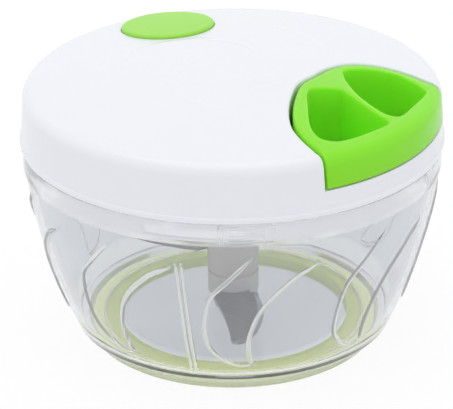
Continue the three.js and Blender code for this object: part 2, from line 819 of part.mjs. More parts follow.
function cordKnot() {
  const geometry = new THREE.IcosahedronGeometry(knotRadius, 2);
  geometry.translate(knotPlace, cordSide, cordHeight);
  return solid(geometry);
}

const finishes = {
  white: { color: 0xf2f4f7, roughness: 0.3, metalness: 0 },
  clear: { color: 0xdbdfe4, roughness: 0.08, metalness: 0, transparent: true, opacity: 0.35 },
  green: { color: 0x82dc3c, roughness: 0.35, metalness: 0 },
  footGreen: { color: 0xb4cc84, roughness: 0.5, metalness: 0 },
  grey: { color: 0xb4b4b4, roughness: 0.45, metalness: 0 },
  steel: { color: 0x9a9ca0, roughness: 0.25, metalness: 1 },
  spring: { color: 0x6f7278, roughness: 0.3, metalness: 1 },
  cord: { color: 0xe9eaea, roughness: 0.8, metalness: 0 },
};

const chopper = new THREE.Group();

function place(name, manifold, finish) {
  const mesh = new THREE.Mesh(surface(manifold), new THREE.MeshStandardMaterial(finishes[finish]));
  mesh.name = name;
  chopper.add(mesh);
}

place('bowl', bowl(), 'clear');
place('foot_ring', footRing(), 'footGreen');
place('blade_pivot_pin', pivotPin(), 'steel');
place('blade_post', bladePost(), 'grey');
bladeNames.forEach((level, i) => place(`blade_${level}`, blade(i), 'steel'));
place('top_cover', topCover(), 'white');
place('lid_badge', lidBadge(), 'green');
place('lower_cover', lowerCover(), 'white');
screwAngles.forEach((angle, i) => {
  const [x, y] = polar(screwCircleRadius, angle);
  place(`cover_screw_${i + 1}`, screw(seamHeight - fitGap).translate([x, y, 0]), 'steel');
});
place('spindle_pin', spindlePin(), 'steel');
place('mainspring', mainspring(), 'spring');
place('cord_eyelet', cordEyelet(), 'steel');
place('cord_lead', cordLead(), 'cord');
place('cord_drum', cordDrum(), 'white');
place('cord_winding', cordWinding(), 'cord');
place('drive_socket', driveSocket(), 'white');
place('drive_screw', screw(screwSeat()), 'steel');
place('drive_washer', washer(), 'steel');
place('pull_handle', pullHandle(), 'green');
place('cord_run', cordRun(), 'cord');
place('cord_knot', cordKnot(), 'cord');

console.log(`least gap between turns of the winding: ${windingLeastGap().toFixed(2)} mm`);

export default chopper;
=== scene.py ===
import math

import bpy
import bmesh
from mathutils import Matrix, Vector


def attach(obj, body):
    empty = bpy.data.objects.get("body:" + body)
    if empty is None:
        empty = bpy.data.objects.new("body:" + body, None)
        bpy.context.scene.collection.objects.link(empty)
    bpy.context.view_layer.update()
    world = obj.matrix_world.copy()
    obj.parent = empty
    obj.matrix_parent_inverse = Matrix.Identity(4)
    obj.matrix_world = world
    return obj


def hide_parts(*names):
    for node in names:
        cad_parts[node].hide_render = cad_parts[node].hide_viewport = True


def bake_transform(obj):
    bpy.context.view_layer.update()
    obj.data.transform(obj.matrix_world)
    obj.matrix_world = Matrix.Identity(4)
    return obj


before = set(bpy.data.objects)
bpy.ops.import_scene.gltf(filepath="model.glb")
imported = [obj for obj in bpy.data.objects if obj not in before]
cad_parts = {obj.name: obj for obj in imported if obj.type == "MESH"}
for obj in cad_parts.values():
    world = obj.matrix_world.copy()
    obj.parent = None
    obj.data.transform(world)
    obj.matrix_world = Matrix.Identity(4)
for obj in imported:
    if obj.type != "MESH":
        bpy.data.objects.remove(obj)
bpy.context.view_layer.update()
mm = 0.001
mergeGap = 0.000002  # points closer than this are one
spare = 2  # how far a cutter reaches past what it cuts, in mm

# Camera
cameraPlace = {"azimuth": 35.5, "elevation": 25.21, "roll": 0.46, "distance": 0.75,
               "target": (0, 0, 0.04), "lens": 199.4, "shift": (-0.01375, -0.00832)}


def addCamera():
    turn, tilt, roll = (math.radians(cameraPlace[key]) for key in ("azimuth", "elevation", "roll"))
    back = Vector((math.sin(turn) * math.cos(tilt), -math.cos(turn) * math.cos(tilt), math.sin(tilt)))
    right = Vector((math.cos(turn), math.sin(turn), 0))
    up = back.cross(right)
    across = right * math.cos(roll) - up * math.sin(roll)
    above = right * math.sin(roll) + up * math.cos(roll)
    facing = Matrix((across, above, back)).transposed()
    place = Vector(cameraPlace["target"]) + back * cameraPlace["distance"]
    bpy.ops.object.camera_add(location=place, rotation=facing.to_euler())
    camera = bpy.context.object
    camera.data.lens = cameraPlace["lens"]
    camera.data.sensor_width = 36
    camera.data.shift_x, camera.data.shift_y = cameraPlace["shift"]
    camera.data.clip_start, camera.data.clip_end = 0.01, 20
    bpy.context.scene.camera = camera


addCamera()
print("camera placed")


# Modelling tools that every piece shares
def only(piece):
    bpy.ops.object.select_all(action="DESELECT")
    piece.select_set(True)
    bpy.context.view_layer.objects.active = piece


def edit(piece, mode="VERT"):
    only(piece)
    bpy.ops.object.mode_set(mode="EDIT")
    bpy.ops.mesh.select_mode(type=mode)
    bpy.ops.mesh.select_all(action="DESELECT")


def done():
    bpy.ops.object.mode_set(mode="OBJECT")


# Selects what the tests accept, in edit mode
def select(piece, faces=None, edges=None):
    mesh = bmesh.from_edit_mesh(piece.data)
    if edges:
        for edge in mesh.edges:
            edge.select_set(edges(edge))
    if faces:
        for face in mesh.faces:
            face.select_set(faces(face))
    bmesh.update_edit_mesh(piece.data)


# Bevels the sharp edges that the test accepts
def bevelled(piece, test, offset, segments):
    edit(piece, "EDGE")
    select(piece, edges=lambda edge: edge.calc_face_angle(0) > 0.5 and test(edge))
    bpy.ops.mesh.bevel(offset=offset * mm, segments=segments)
    done()
    return piece


# Joins doubled points and turns the faces outward
def mended(piece):
    edit(piece)
    bpy.ops.mesh.select_all(action="SELECT")
    bpy.ops.mesh.remove_doubles(threshold=mergeGap)
    bpy.ops.mesh.select_all(action="SELECT")
    bpy.ops.mesh.normals_make_consistent(inside=False)
    done()
    return piece


def smoothed(piece, angle=35):
    only(piece)
    bpy.ops.object.shade_smooth_by_angle(angle=math.radians(angle))
    return piece


def combined(piece, tool, how):
    only(piece)
    bpy.ops.object.modifier_add(type="BOOLEAN")
    modifier = piece.modifiers[-1]
    modifier.operation, modifier.solver, modifier.object = how, "EXACT", tool
    bpy.ops.object.modifier_apply(modifier=modifier.name)
    bpy.data.objects.remove(tool)


def cut(piece, tool):
    combined(piece, tool, "DIFFERENCE")


def added(piece, tool):
    combined(piece, tool, "UNION")


def joined(pieces):
    only(pieces[0])
    for piece in pieces:
        piece.select_set(True)
    bpy.ops.object.join()
    return pieces[0]


# Turns a piece's mesh about the axis
def turned(piece, degrees):
    turn = Matrix.Rotation(math.radians(degrees), 2)
    for vert in piece.data.vertices:
        vert.co.xy = turn @ vert.co.xy
    return piece


# Moves a piece's mesh sideways, in mm
def moved(piece, x, y):
    for vert in piece.data.vertices:
        vert.co.x += x * mm
        vert.co.y += y * mm
    return piece


# The place at an angle and a radius
def polar(degrees, radius):
    angle = math.radians(degrees)
    return radius * math.cos(angle), radius * math.sin(angle)


# One flat face through (x, y, z) points in mm
def flatFace(name, points):
    bpy.ops.object.select_all(action="DESELECT")
    bpy.ops.mesh.primitive_circle_add(vertices=len(points), radius=mm, fill_type="NGON")
    piece = bpy.context.object
    piece.name = name
    for vert, point in zip(piece.data.vertices, points):
        vert.co = [value * mm for value in point]
    return piece


def extruded(piece, step, times=1):
    edit(piece, "FACE")
    bpy.ops.mesh.select_all(action="SELECT")
    for _ in range(times):
        bpy.ops.mesh.extrude_region_move(TRANSFORM_OT_translate={"value": step})
    done()
    return piece


# Corners are (radius, height) or (radius, height, fillet)
def rounded(corners, steps=4):
    points = []
    for i, corner in enumerate(corners):
        here = Vector(corner[:2])
        if len(corner) < 3:
            points.append(tuple(here))
            continue
        before = (Vector(corners[i - 1][:2]) - here).normalized()
        after = (Vector(corners[(i + 1) % len(corners)][:2]) - here).normalized()
        half = before.angle(after) / 2
        middle = here + (before + after).normalized() * corner[2] / math.sin(half)
        start = here + before * corner[2] / math.tan(half) - middle
        end = here + after * corner[2] / math.tan(half) - middle
        for step in range(steps + 1):
            spoke = start.lerp(end, step / steps).normalized() * corner[2]
            points.append(tuple(middle + spoke))
    return points


# A closed profile of (radius, height) in mm, spun round the axis
def spun(name, profile, steps=144, start=0, sweep=360):
    bpy.ops.object.select_all(action="DESELECT")
    fill = "NOTHING" if sweep == 360 else "NGON"
    bpy.ops.mesh.primitive_circle_add(vertices=len(profile), radius=mm, fill_type=fill)
    piece = bpy.context.object
    piece.name = name
    turn = Matrix.Rotation(math.radians(start), 3, "Z")
    for vert, (r, z) in zip(piece.data.vertices, profile):
        vert.co = turn @ Vector((r * mm, 0, z * mm))
    edit(piece, "EDGE")
    axis = lambda edge: all(vert.co.xy.length < 1e-7 for vert in edge.verts)
    select(piece, edges=axis)
    if any(edge.select for edge in bmesh.from_edit_mesh(piece.data).edges):
        bpy.ops.mesh.delete(type="EDGE")
    bpy.ops.mesh.select_all(action="SELECT")
    bpy.ops.mesh.spin(steps=steps, angle=math.radians(sweep), center=(0, 0, 0), axis=(0, 0, 1))
    done()
    return mended(piece)


# Points and directions along a smooth curve through the given points
def smoothPath(points, samples, loop=False):
    points = [Vector(point) for point in points]
    count = len(points)
    spans = count if loop else count - 1
    found = []
    for i in range(samples if loop else samples + 1):
        place = spans * i / samples
        k = min(int(place), spans - 1)
        t = place - k
        b, c = points[k % count], points[(k + 1) % count]
        a = points[k - 1] if loop or k > 0 else 2 * points[0] - points[1]
        d = points[(k + 2) % count] if loop or k + 2 < count else 2 * points[-1] - points[-2]
        da, db, dc = (max((q - p).length, 1e-6) ** 0.5 for p, q in ((a, b), (b, c), (c, d)))
        m = ((b - a) / da - (c - a) / (da + db) + (c - b) / db) * db
        n = ((c - b) / db - (d - b) / (db + dc) + (d - c) / dc) * db
        u, v = -3 * b + 3 * c - 2 * m - n, 2 * b - 2 * c + m + n
        found.append((b + m * t + u * t * t + v * t ** 3, (m + 2 * u * t + 3 * v * t * t).normalized()))
    return found


# A round tube along points in mm, thinned over its first and last rings, with its own UV map
def swept(name, path, radius, sides=12, ends=0, closed=False):
    path = [Vector(point) for point in path]
    mesh = bmesh.new()
    around = mesh.loops.layers.uv.new("UVMap")
    rings, lengths = [], []
    side, travelled = None, 0
    for i, point in enumerate(path):
        before = path[i - 1] if i > 0 or closed else point
        after = path[(i + 1) % len(path)] if i + 1 < len(path) or closed else point
        along = (after - before).normalized()
        if side is None:
            side = along.orthogonal().normalized()
        side = (side - along * side.dot(along)).normalized()
        other = along.cross(side)
        edge = min(i, len(path) - 1 - i)
        width = radius * (0.35 + 0.65 * min(1, edge / ends)) if ends and not closed else radius
        if i:
            travelled += (point - path[i - 1]).length
        lengths.append(travelled)
        ring = []
        for k in range(sides):
            angle = 2 * math.pi * k / sides
            spot = point + (side * math.cos(angle) + other * math.sin(angle)) * width
            ring.append(mesh.verts.new(spot * mm))
        rings.append(ring)
    spans = len(rings) if closed else len(rings) - 1
    for i in range(spans):
        j = (i + 1) % len(rings)
        for k in range(sides):
            n = (k + 1) % sides
            face = mesh.faces.new((rings[i][k], rings[i][n], rings[j][n], rings[j][k]))
            low, high = lengths[i], lengths[j] if j else travelled + 0.5
            for loop, (u, v) in zip(face.loops, ((k, low), (k + 1, low), (k + 1, high), (k, high))):
                loop[around].uv = (u / sides, v / (2 * math.pi * radius))
    if not closed:
        mesh.faces.new(reversed(rings[0]))
        mesh.faces.new(rings[-1])
    data = bpy.data.meshes.new(name)
    mesh.to_mesh(data)
    mesh.free()
    piece = bpy.data.objects.new(name, data)
    bpy.context.collection.objects.link(piece)
    return mended(piece)


def settled(piece, body, slot, finish, *nodes):
    piece.data.materials.clear()
    piece.data.materials.append(finishes[finish])
    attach(piece, body)
    if nodes:
        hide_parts(*nodes)
    return piece


# Gives a piece's faces further finishes, where the choice names one
def dressed(piece, names, choice):
    for name in names[1:]:
        piece.data.materials.append(finishes[name])
    for face in piece.data.polygons:
        face.material_index = names.index(choice(face))


# Materials
# A node with its settings and its input values, and links given as (input, output socket)
def node(tree, kind, *links, **values):
    made = tree.nodes.new("ShaderNode" + kind)
    for key, value in values.items():
        label = key.replace("_", " ")
        if label in made.inputs:
            made.inputs[label].default_value = value
        else:
            setattr(made, key, value)
    for target, source in links:
        tree.links.new(source, made.inputs[target])
    return made


# Gives an input a value, or a link from an output socket
def fed(tree, target, value):
    if hasattr(value, "links"):
        tree.links.new(value, target)
    else:
        target.default_value = value


def maths(tree, how, a, b=0.0, clamp=False):
    made = tree.nodes.new("ShaderNodeMath")
    made.operation, made.use_clamp = how, clamp
    fed(tree, made.inputs[0], a)
    fed(tree, made.inputs[1], b)
    return made.outputs[0]


def effectGroup(name, inputs, outputs):
    group = bpy.data.node_groups.new(name, "ShaderNodeTree")
    for label, kind, value in inputs:
        socket = group.interface.new_socket(label, in_out="INPUT", socket_type="NodeSocket" + kind)
        socket.default_value = value
    for label, kind in outputs:
        group.interface.new_socket(label, in_out="OUTPUT", socket_type="NodeSocket" + kind)
    return group, group.nodes.new("NodeGroupInput"), group.nodes.new("NodeGroupOutput")


def mixed(tree, how, amount, a, b):
    mix = tree.nodes.new("ShaderNodeMix")
    mix.data_type, mix.blend_type = "RGBA", how
    for i, value in ((0, amount), (6, a), (7, b)):
        fed(tree, mix.inputs[i], value)
    return mix.outputs[2]


# A group's end: one noise varies the colour and the gloss, and a height gives the relief
def varied(group, given, out, noise, mottle, uneven, height):
    centred = maths(group, "SUBTRACT", noise, 0.5)
    tone = maths(group, "ADD", maths(group, "MULTIPLY", centred, given.outputs[mottle]), 1.0)
    shade = node(group, "CombineXYZ", ("X", tone), ("Y", tone), ("Z", tone)).outputs[0]
    gloss = maths(group, "ADD", given.outputs["Gloss"], maths(group, "MULTIPLY", centred, given.outputs[uneven]))
    group.links.new(mixed(group, "MULTIPLY", 1.0, given.outputs["Color"], shade), out.inputs["Color"])
    group.links.new(gloss, out.inputs["Roughness"])
    group.links.new(height, out.inputs["Height"])
    return group


# Sends a mix of two shaders to a tree's output
def blended(tree, share, first, second, output="Material Output"):
    mix = node(tree, "MixShader", (0, share), (1, first.outputs[0]), (2, second.outputs[0]))
    tree.links.new(mix.outputs[0], tree.nodes[output].inputs["Surface"])


# Fine grain, faint flow marks and slight unevenness of gloss, as on moulded plastic
def makeMouldedSkin():
    group, given, out = effectGroup("mouldedSkin", [
        ("Color", "Color", (0.8, 0.8, 0.8, 1)), ("Mottle", "Float", 0.03), ("Gloss", "Float", 0.3),
        ("Uneven", "Float", 0.05), ("Grain", "Float", 2500.0)], [
        ("Color", "Color"), ("Roughness", "Float"), ("Height", "Float")])
    place = node(group, "TexCoord").outputs["Object"]
    broad = node(group, "TexNoise", ("Vector", place), Scale=55, Detail=3, Roughness=0.5).outputs["Fac"]
    fine = node(group, "TexNoise", ("Vector", place), ("Scale", given.outputs["Grain"]), Detail=2).outputs["Fac"]
    return varied(group, given, out, broad, "Mottle", "Uneven", fine)


# Long scratches along one direction, as on stamped and ground steel
def makeBrushed():
    group, given, out = effectGroup("brushedSteel", [
        ("Color", "Color", (0.6, 0.6, 0.6, 1)), ("Gloss", "Float", 0.25), ("Turn", "Vector", (0, 0, 0)),
        ("Contrast", "Float", 0.25)], [
        ("Color", "Color"), ("Roughness", "Float"), ("Height", "Float")])
    place = node(group, "TexCoord").outputs["Object"]
    aligned = node(group, "Mapping", ("Vector", place), ("Rotation", given.outputs["Turn"])).outputs[0]
    stretched = node(group, "Mapping", ("Vector", aligned), Scale=(60, 3000, 3000)).outputs[0]
    lines = node(group, "TexNoise", ("Vector", stretched), Scale=1, Detail=4, Roughness=0.7).outputs["Fac"]
    return varied(group, given, out, lines, "Contrast", "Contrast", lines)


# Crossing strands round a cord, on its own UV map, with painted shade that darkens the dips between strands
def makeBraid():
    group, given, out = effectGroup("braidedCord", [
        ("Color", "Color", (0.8, 0.8, 0.8, 1)), ("Strands", "Float", 4.0), ("GrooveShade", "Float", 0.6)], [
        ("Color", "Color"), ("Height", "Float")])
    place = node(group, "UVMap", uv_map="UVMap").outputs[0]
    around, along = node(group, "SeparateXYZ", ("Vector", place)).outputs[:2]
    twist = maths(group, "MULTIPLY", given.outputs["Strands"], 2 * math.pi)
    left, right = (maths(group, "SINE", maths(group, "MULTIPLY", maths(group, how, around, along), twist))
                   for how in ("ADD", "SUBTRACT"))
    height = maths(group, "ABSOLUTE", maths(group, "MULTIPLY", left, right))
    # Painted shade: the colour goes darker where the strands dip, in the grooves between them
    shadedGrooves = mixed(group, "MULTIPLY", given.outputs["GrooveShade"], given.outputs["Color"], (0.5, 0.5, 0.5, 1))
    group.links.new(mixed(group, "MIX", height, shadedGrooves, given.outputs["Color"]), out.inputs["Color"])
    group.links.new(height, out.inputs["Height"])
    return group


effects = {"mouldedSkin": makeMouldedSkin(), "brushedSteel": makeBrushed(), "braidedCord": makeBraid()}


# A Principled material whose colour, gloss and fine relief come from one effect group
def material(name, effect, settings, bump=(0.1, 0.00002), **shader):
    made = bpy.data.materials.new(name)
    made.use_nodes = True
    tree = made.node_tree
    principled = tree.nodes["Principled BSDF"]
    skin = tree.nodes.new("ShaderNodeGroup")
    skin.node_tree = effects[effect]
    for label, value in settings.items():
        skin.inputs[label].default_value = value
    tree.links.new(skin.outputs["Color"], principled.inputs["Base Color"])
    if "Roughness" in skin.outputs:
        tree.links.new(skin.outputs["Roughness"], principled.inputs["Roughness"])
    relief = node(tree, "Bump", ("Height", skin.outputs["Height"]), Strength=bump[0], Distance=bump[1])
    tree.links.new(relief.outputs[0], principled.inputs["Normal"])
    for key, value in shader.items():
        principled.inputs[key.replace("_", " ")].default_value = value
    return made


# Lets lamps and soft light pass a clear wall, so that what stands behind it is lit
def lightPasses(made, tint):
    tree = made.node_tree
    path = node(tree, "LightPath")
    passing = maths(tree, "MAXIMUM", path.outputs["Is Shadow Ray"], path.outputs["Is Diffuse Ray"])
    opening = node(tree, "BsdfTransparent", Color=tint)
    blended(tree, passing, tree.nodes["Principled BSDF"], opening)


def plastic(name, color, gloss, mottle=0.02, bump=(0.1, 0.00002), uneven=0.05, grain=2500.0, **shader):
    settings = {"Color": (*color, 1), "Gloss": gloss, "Mottle": mottle, "Uneven": uneven, "Grain": grain}
    return material(name, "mouldedSkin", settings, bump, **shader)


def steel(name, color, gloss, contrast=0.25, bump=(0.1, 0.00002)):
    settings = {"Color": (*color, 1), "Gloss": gloss, "Contrast": contrast}
    return material(name, "brushedSteel", settings, bump, Metallic=1.0)


softGreen = {"Specular_IOR_Level": 0.25, "Subsurface_Weight": 0.7, "Subsurface_Radius": (0.002, 0.005, 0.001),
             "Subsurface_Scale": 0.8}
finishes = {
    "lid": plastic("lidWhite", (0.87, 0.88, 0.92), 0.22, Subsurface_Weight=0.15,
                   Subsurface_Radius=(0.004, 0.004, 0.0045), Subsurface_Scale=0.5),
    "inner": plastic("innerWhite", (0.95, 0.95, 0.95), 0.35, 0.03, Subsurface_Weight=0.3,
                     Subsurface_Radius=(0.008, 0.008, 0.008), Subsurface_Scale=1.0),
    "green": plastic("handleGreen", (0.28, 0.79, 0.03), 0.26, 0.06, **softGreen),
    # A lighter copy of the handle's green, painted light on the faces inside the wells, where they sit in shade
    "well": plastic("wellGreenLightened", (0.3, 0.85, 0.035), 0.3, 0.06, **softGreen),
    "badge": plastic("badgeGreen", (0.35, 0.77, 0.08), 0.35, 0.06, Specular_IOR_Level=0.25),
    "clear": plastic("clearPlastic", (0.79, 0.805, 0.83), 0.03, bump=(0.05, 0.00002), uneven=0.02, grain=400.0,
                     Transmission_Weight=0.94, IOR=1.48),
    "base": plastic("basePlastic", (0.89, 0.9, 0.9), 0.05, Transmission_Weight=0.94, IOR=1.4),
    "floor": plastic("floorPlastic", (0.74, 0.755, 0.78), 0.1, 0.03, Transmission_Weight=0.92, IOR=1.4),
    # A milky white copy of the clear plastic for the ribs and the rim's top: a painted highlight, standing in for
    # glints on polished clear ribs
    "rib": plastic("ribPaintedHighlight", (0.97, 0.97, 0.98), 0.12, Transmission_Weight=0.65, IOR=1.35),
    # A paler, milky copy of the clear plastic: painted light on the rim band, where the lit white cover shows through,
    # and on the bowl's outer foot
    "band": plastic("bandLightened", (0.95, 0.95, 0.97), 0.06, Transmission_Weight=0.7, IOR=1.4),
    "foot": plastic("footGreen", (0.86, 0.97, 0.24), 0.4, 0.06, Transmission_Weight=0.85, IOR=1.3),
    # A paler copy of the foot ring's green, painted light for the ring's outer side
    "footSideLightened": plastic("footSideLightened", (0.95, 0.98, 0.66), 0.4, 0.04, Transmission_Weight=0.55, IOR=1.3),
    "post": plastic("postGrey", (0.68, 0.65, 0.62), 0.4, 0.1),
    "socket": plastic("socketWhite", (0.75, 0.75, 0.74), 0.4, 0.05),
    "blade": steel("bladeSteel", (0.41, 0.42, 0.44), 0.24, 0.3, (0.15, 0.00002)),
    "pin": steel("pinSteel", (0.55, 0.55, 0.57), 0.2),
    "screw": steel("screwSteel", (0.5, 0.5, 0.5), 0.3),
    "spring": steel("springSteel", (0.3, 0.31, 0.35), 0.3),
    "eyelet": steel("eyeletNickel", (0.7, 0.68, 0.64), 0.2),
    "cord": material("cordWhite", "braidedCord", {"Color": (0.82, 0.83, 0.83, 1)}, (0.6, 0.00015), Roughness=0.75),
}
clearTint, greenTint = (0.97, 0.97, 0.98, 1), (0.9, 0.97, 0.6, 1)
for name in ("clear", "base", "floor", "rib", "band", "foot", "footSideLightened"):
    lightPasses(finishes[name], greenTint if name.startswith("foot") else clearTint)
print("materials ready")


# Outer form of the lid, which the handle and the badge follow
lidForm = {"rim": 62.5, "lip": 0.4, "lipTop": 63.85, "seam": 62.05, "shoulder": 61.3, "shoulderTop": 79.1,
           "fillet": 3.8, "rise": 4.5, "wall": 2.0}
domeEdge = lidForm["shoulder"] - lidForm["fillet"]
domeRadius = (domeEdge ** 2 + lidForm["rise"] ** 2) / (2 * lidForm["rise"])
domeCentre = lidForm["shoulderTop"] + lidForm["rise"] - domeRadius
filletCentre = lidForm["shoulderTop"] - lidForm["fillet"]
skirtFoot = lidForm["rim"] - lidForm["lip"]


def domeHeight(r):
    return domeCentre + math.sqrt(domeRadius ** 2 - r * r)


def surfaceHeight(r):
    if r <= domeEdge:
        return domeHeight(r)
    across = min(r - domeEdge, lidForm["fillet"])
    return filletCentre + math.sqrt(lidForm["fillet"] ** 2 - across ** 2)


# How far a point in mm lies under the lid's top; negative above it
def depthInLid(x, y, z):
    r = math.hypot(x, y)
    if r <= domeEdge:
        return domeRadius - math.hypot(r, z - domeCentre)
    share = min((r - domeEdge) / lidForm["fillet"], 0.8)
    return (surfaceHeight(r) - z) * math.sqrt(1 - share ** 2)


# From the crown to the shoulder's foot, moved outward by an offset
def lidOutline(offset, rings=60, turns=8):
    rim = math.asin(domeEdge / domeRadius)
    size = domeRadius + offset
    angles = [rim * i / rings for i in range(rings + 1)]
    points = [(size * math.sin(angle), domeCentre + size * math.cos(angle)) for angle in angles]
    bend = lidForm["fillet"] + offset
    for i in range(1, turns + 1):
        angle = (math.pi / 2 - rim) * (1 - i / turns)
        points.append((domeEdge + bend * math.cos(angle), filletCentre + bend * math.sin(angle)))
    return points


# Sideways reach of a rounded edge at a depth, carried on past the face at a shallow angle
def flare(depth, edge):
    steepest = math.radians(80)
    least = edge * (1 - math.sin(steepest))
    if depth >= edge:
        return 0
    if depth > least:
        return edge - math.sqrt(edge ** 2 - (edge - depth) ** 2)
    past = min(least - depth, least + 0.3)
    return edge - edge * math.cos(steepest) + past * math.tan(steepest)


# A prism on an outline of (place, outward direction), flared (1) or leaning in (-1) near the lid's face,
# less and less so over the shoulder
def walled(name, outline, floor, edge, sign=1, foot=0):
    arc = [edge * (1 - math.sin(math.radians(a))) for a in (0, 20, 40, 55, 65, 75, 80)]
    piece = flatFace(name, [(place.x, place.y, 0) for place, _ in outline])
    order = {(round(v.co.x, 8), round(v.co.y, 8)): i for i, v in enumerate(piece.data.vertices)}
    feet = [foot * (1 - math.cos(math.radians(a))) for a in (0, 30, 60, 90)] if foot else [0]
    rows = [("foot", d) for d in feet] + [("share", s) for s in (0.35, 0.7)] + [("arc", d) for d in arc]
    rows += [("arc", -0.3), ("over", 0)]
    extruded(piece, (0, 0, 1), len(rows) - 1)
    for vert in piece.data.vertices:
        place, outward = outline[order[(round(vert.co.x, 8), round(vert.co.y, 8))]]
        kind, value = rows[round(vert.co.z)]
        r = math.hypot(place.x, place.y)
        top = surfaceHeight(r)
        fade = max(0.05, min(1, 1 - (r - domeEdge) / (0.7 * lidForm["fillet"])))
        if kind == "foot":
            z = floor + value
        elif kind == "share":
            z = floor + foot + (top - edge - floor - foot) * value
        elif kind == "arc":
            z = max(top - value * fade, floor + foot)
        else:
            z = top + 0.3 * fade
        reach = sign * fade * flare(depthInLid(place.x, place.y, z) / fade, edge)
        if foot and z < floor + foot:
            reach -= foot - math.sqrt(max(foot ** 2 - (foot - (z - floor)) ** 2, 0))
        if kind == "over":
            z = lidForm["shoulderTop"] + lidForm["rise"] + 4
        spot = place + outward * reach
        vert.co = (spot.x * mm, spot.y * mm, z * mm)
    return mended(piece)


# Pull handle
handleForm = {
    "bottom": 69.3, "wellFloor": 71.0, "edge": 1.3, "wellEdge": 0.7, "gap": 1.0, "pocketEdge": 0.8,
    "deep": 64.15, "deepBack": 15, "deepFloor": 1.0, "deepWall": 1.2, "deepSides": (-24.0, 29.0),
    "slope": 16, "slopeTop": 50.73, "sill": 69.0, "sillEdge": 59.3, "pocketWall": 1.5,
    "side": [(0.84, 0.488), (0.614, 0.488), (0.486, 0.445), (0.405, 0.365), (0.374, 0.26), (0.374, 0.15),
             (0.374, 0.03), (0.418, -0.086), (0.498, -0.229), (0.592, -0.344), (0.677, -0.403), (0.781, -0.451),
             (0.851, -0.483)],
    "nearWell": [(0.438, 0), (0.462, 0.045), (0.522, 0.093), (0.54, 0.102), (0.546, 0.103), (0.555, 0.1),
                 (0.64, 0.067), (0.77, 0.018), (0.866, -0.01), (0.88, -0.026), (0.862, -0.17), (0.83, -0.28),
                 (0.794, -0.336), (0.735, -0.354), (0.655, -0.308), (0.53, -0.15)],
    "farWell": [(0.436, 0.298), (0.446, 0.272), (0.5, 0.21), (0.62, 0.118), (0.745, 0.06), (0.83, 0.042),
                (0.872, 0.058), (0.881, 0.088), (0.866, 0.2), (0.842, 0.335), (0.82, 0.39), (0.79, 0.412),
                (0.714, 0.436), (0.608, 0.442), (0.515, 0.402), (0.456, 0.345)],
}


# A closed outline in mm, counter-clockwise, with its outward directions
def outwardLoop(shares, samples):
    found = smoothPath([(x * lidForm["rim"], y * lidForm["rim"]) for x, y in shares], samples, loop=True)
    area = sum(a[0].cross(b[0]) for a, b in zip(found, found[1:] + found[:1]))
    if area < 0:
        found = [(place, -along) for place, along in reversed(found)]
    return [(place, Vector((along.y, -along.x))) for place, along in found]


# The handle's inner side moved outward, then carried straight out past the rim
def sideOutline(offset):
    found = smoothPath([(x * lidForm["rim"], y * lidForm["rim"]) for x, y in handleForm["side"]], 110)
    side = [(place, Vector((along.y, -along.x))) for place, along in found]
    side = [(place + outward * offset, outward) for place, outward in side]
    outline = []
    runs = [0.25 * i for i in range(1, 21)] + [7, 10, 14]
    for run in reversed(runs):
        outline.append((side[0][0] + Vector((run, 0)), Vector((0, 1))))
    outline += side
    for run in runs:
        outline.append((side[-1][0] + Vector((run, 0)), Vector((0, -1))))
    for _ in range(6):
        middle = [(a[1] + b[1] + c[1]).normalized() for a, b, c in zip(outline, outline[1:], outline[2:])]
        spread = [outline[0][1], *middle, outline[-1][1]]
        outline = [(spot, outward) for (spot, _), outward in zip(outline, spread)]
    return outline


# Everything inside the lid's outer face, down to a level, with a rounded lower edge
def lidSolid(name, bottom, edge):
    reach = lidForm["shoulder"] + (skirtFoot - lidForm["shoulder"]) * (filletCentre - bottom) / (
        filletCentre - lidForm["lipTop"])
    return spun(name, rounded(lidOutline(0, 30) + [(reach, bottom, edge), (0, bottom)]), 192)


# A cylinder from one point to another, in mm
def roundBar(name, start, end, radius, sides=32):
    start, end = Vector(start) * mm, Vector(end) * mm
    bpy.ops.object.select_all(action="DESELECT")
    bpy.ops.mesh.primitive_cylinder_add(vertices=sides, radius=radius * mm, depth=(end - start).length,
                                        location=(start + end) / 2,
                                        rotation=(end - start).to_track_quat("Z", "Y").to_euler())
    bar = bpy.context.object
    bar.name = name
    bpy.ops.object.transform_apply(location=True, rotation=True, scale=True)
    return bar


# A block on an outline of (x, z) in mm, between two places along y
def slab(name, outline, near, far):
    piece = flatFace(name, [(x, near, z) for x, z in outline])
    return mended(extruded(piece, (0, (far - near) * mm, 0)))


# The handle's slope along the pull, moved up by a thickness: how far out it is at a height
def slopeReach(z, thickness=0):
    slope = math.radians(handleForm["slope"])
    return handleForm["slopeTop"] - thickness / math.sin(slope) - (handleForm["sill"] - z) / math.tan(slope)


cordLine = {"side": 9.0, "height": 72.85, "radius": 0.75, "hole": 1.05, "holeStart": 10, "eyeletHole": (15, 26, 2.5),
            "knot": (29, 9.0, 72.85), "knotRoom": (60, 76, 3), "knotSize": (1.1, 0.5, 0.62)}


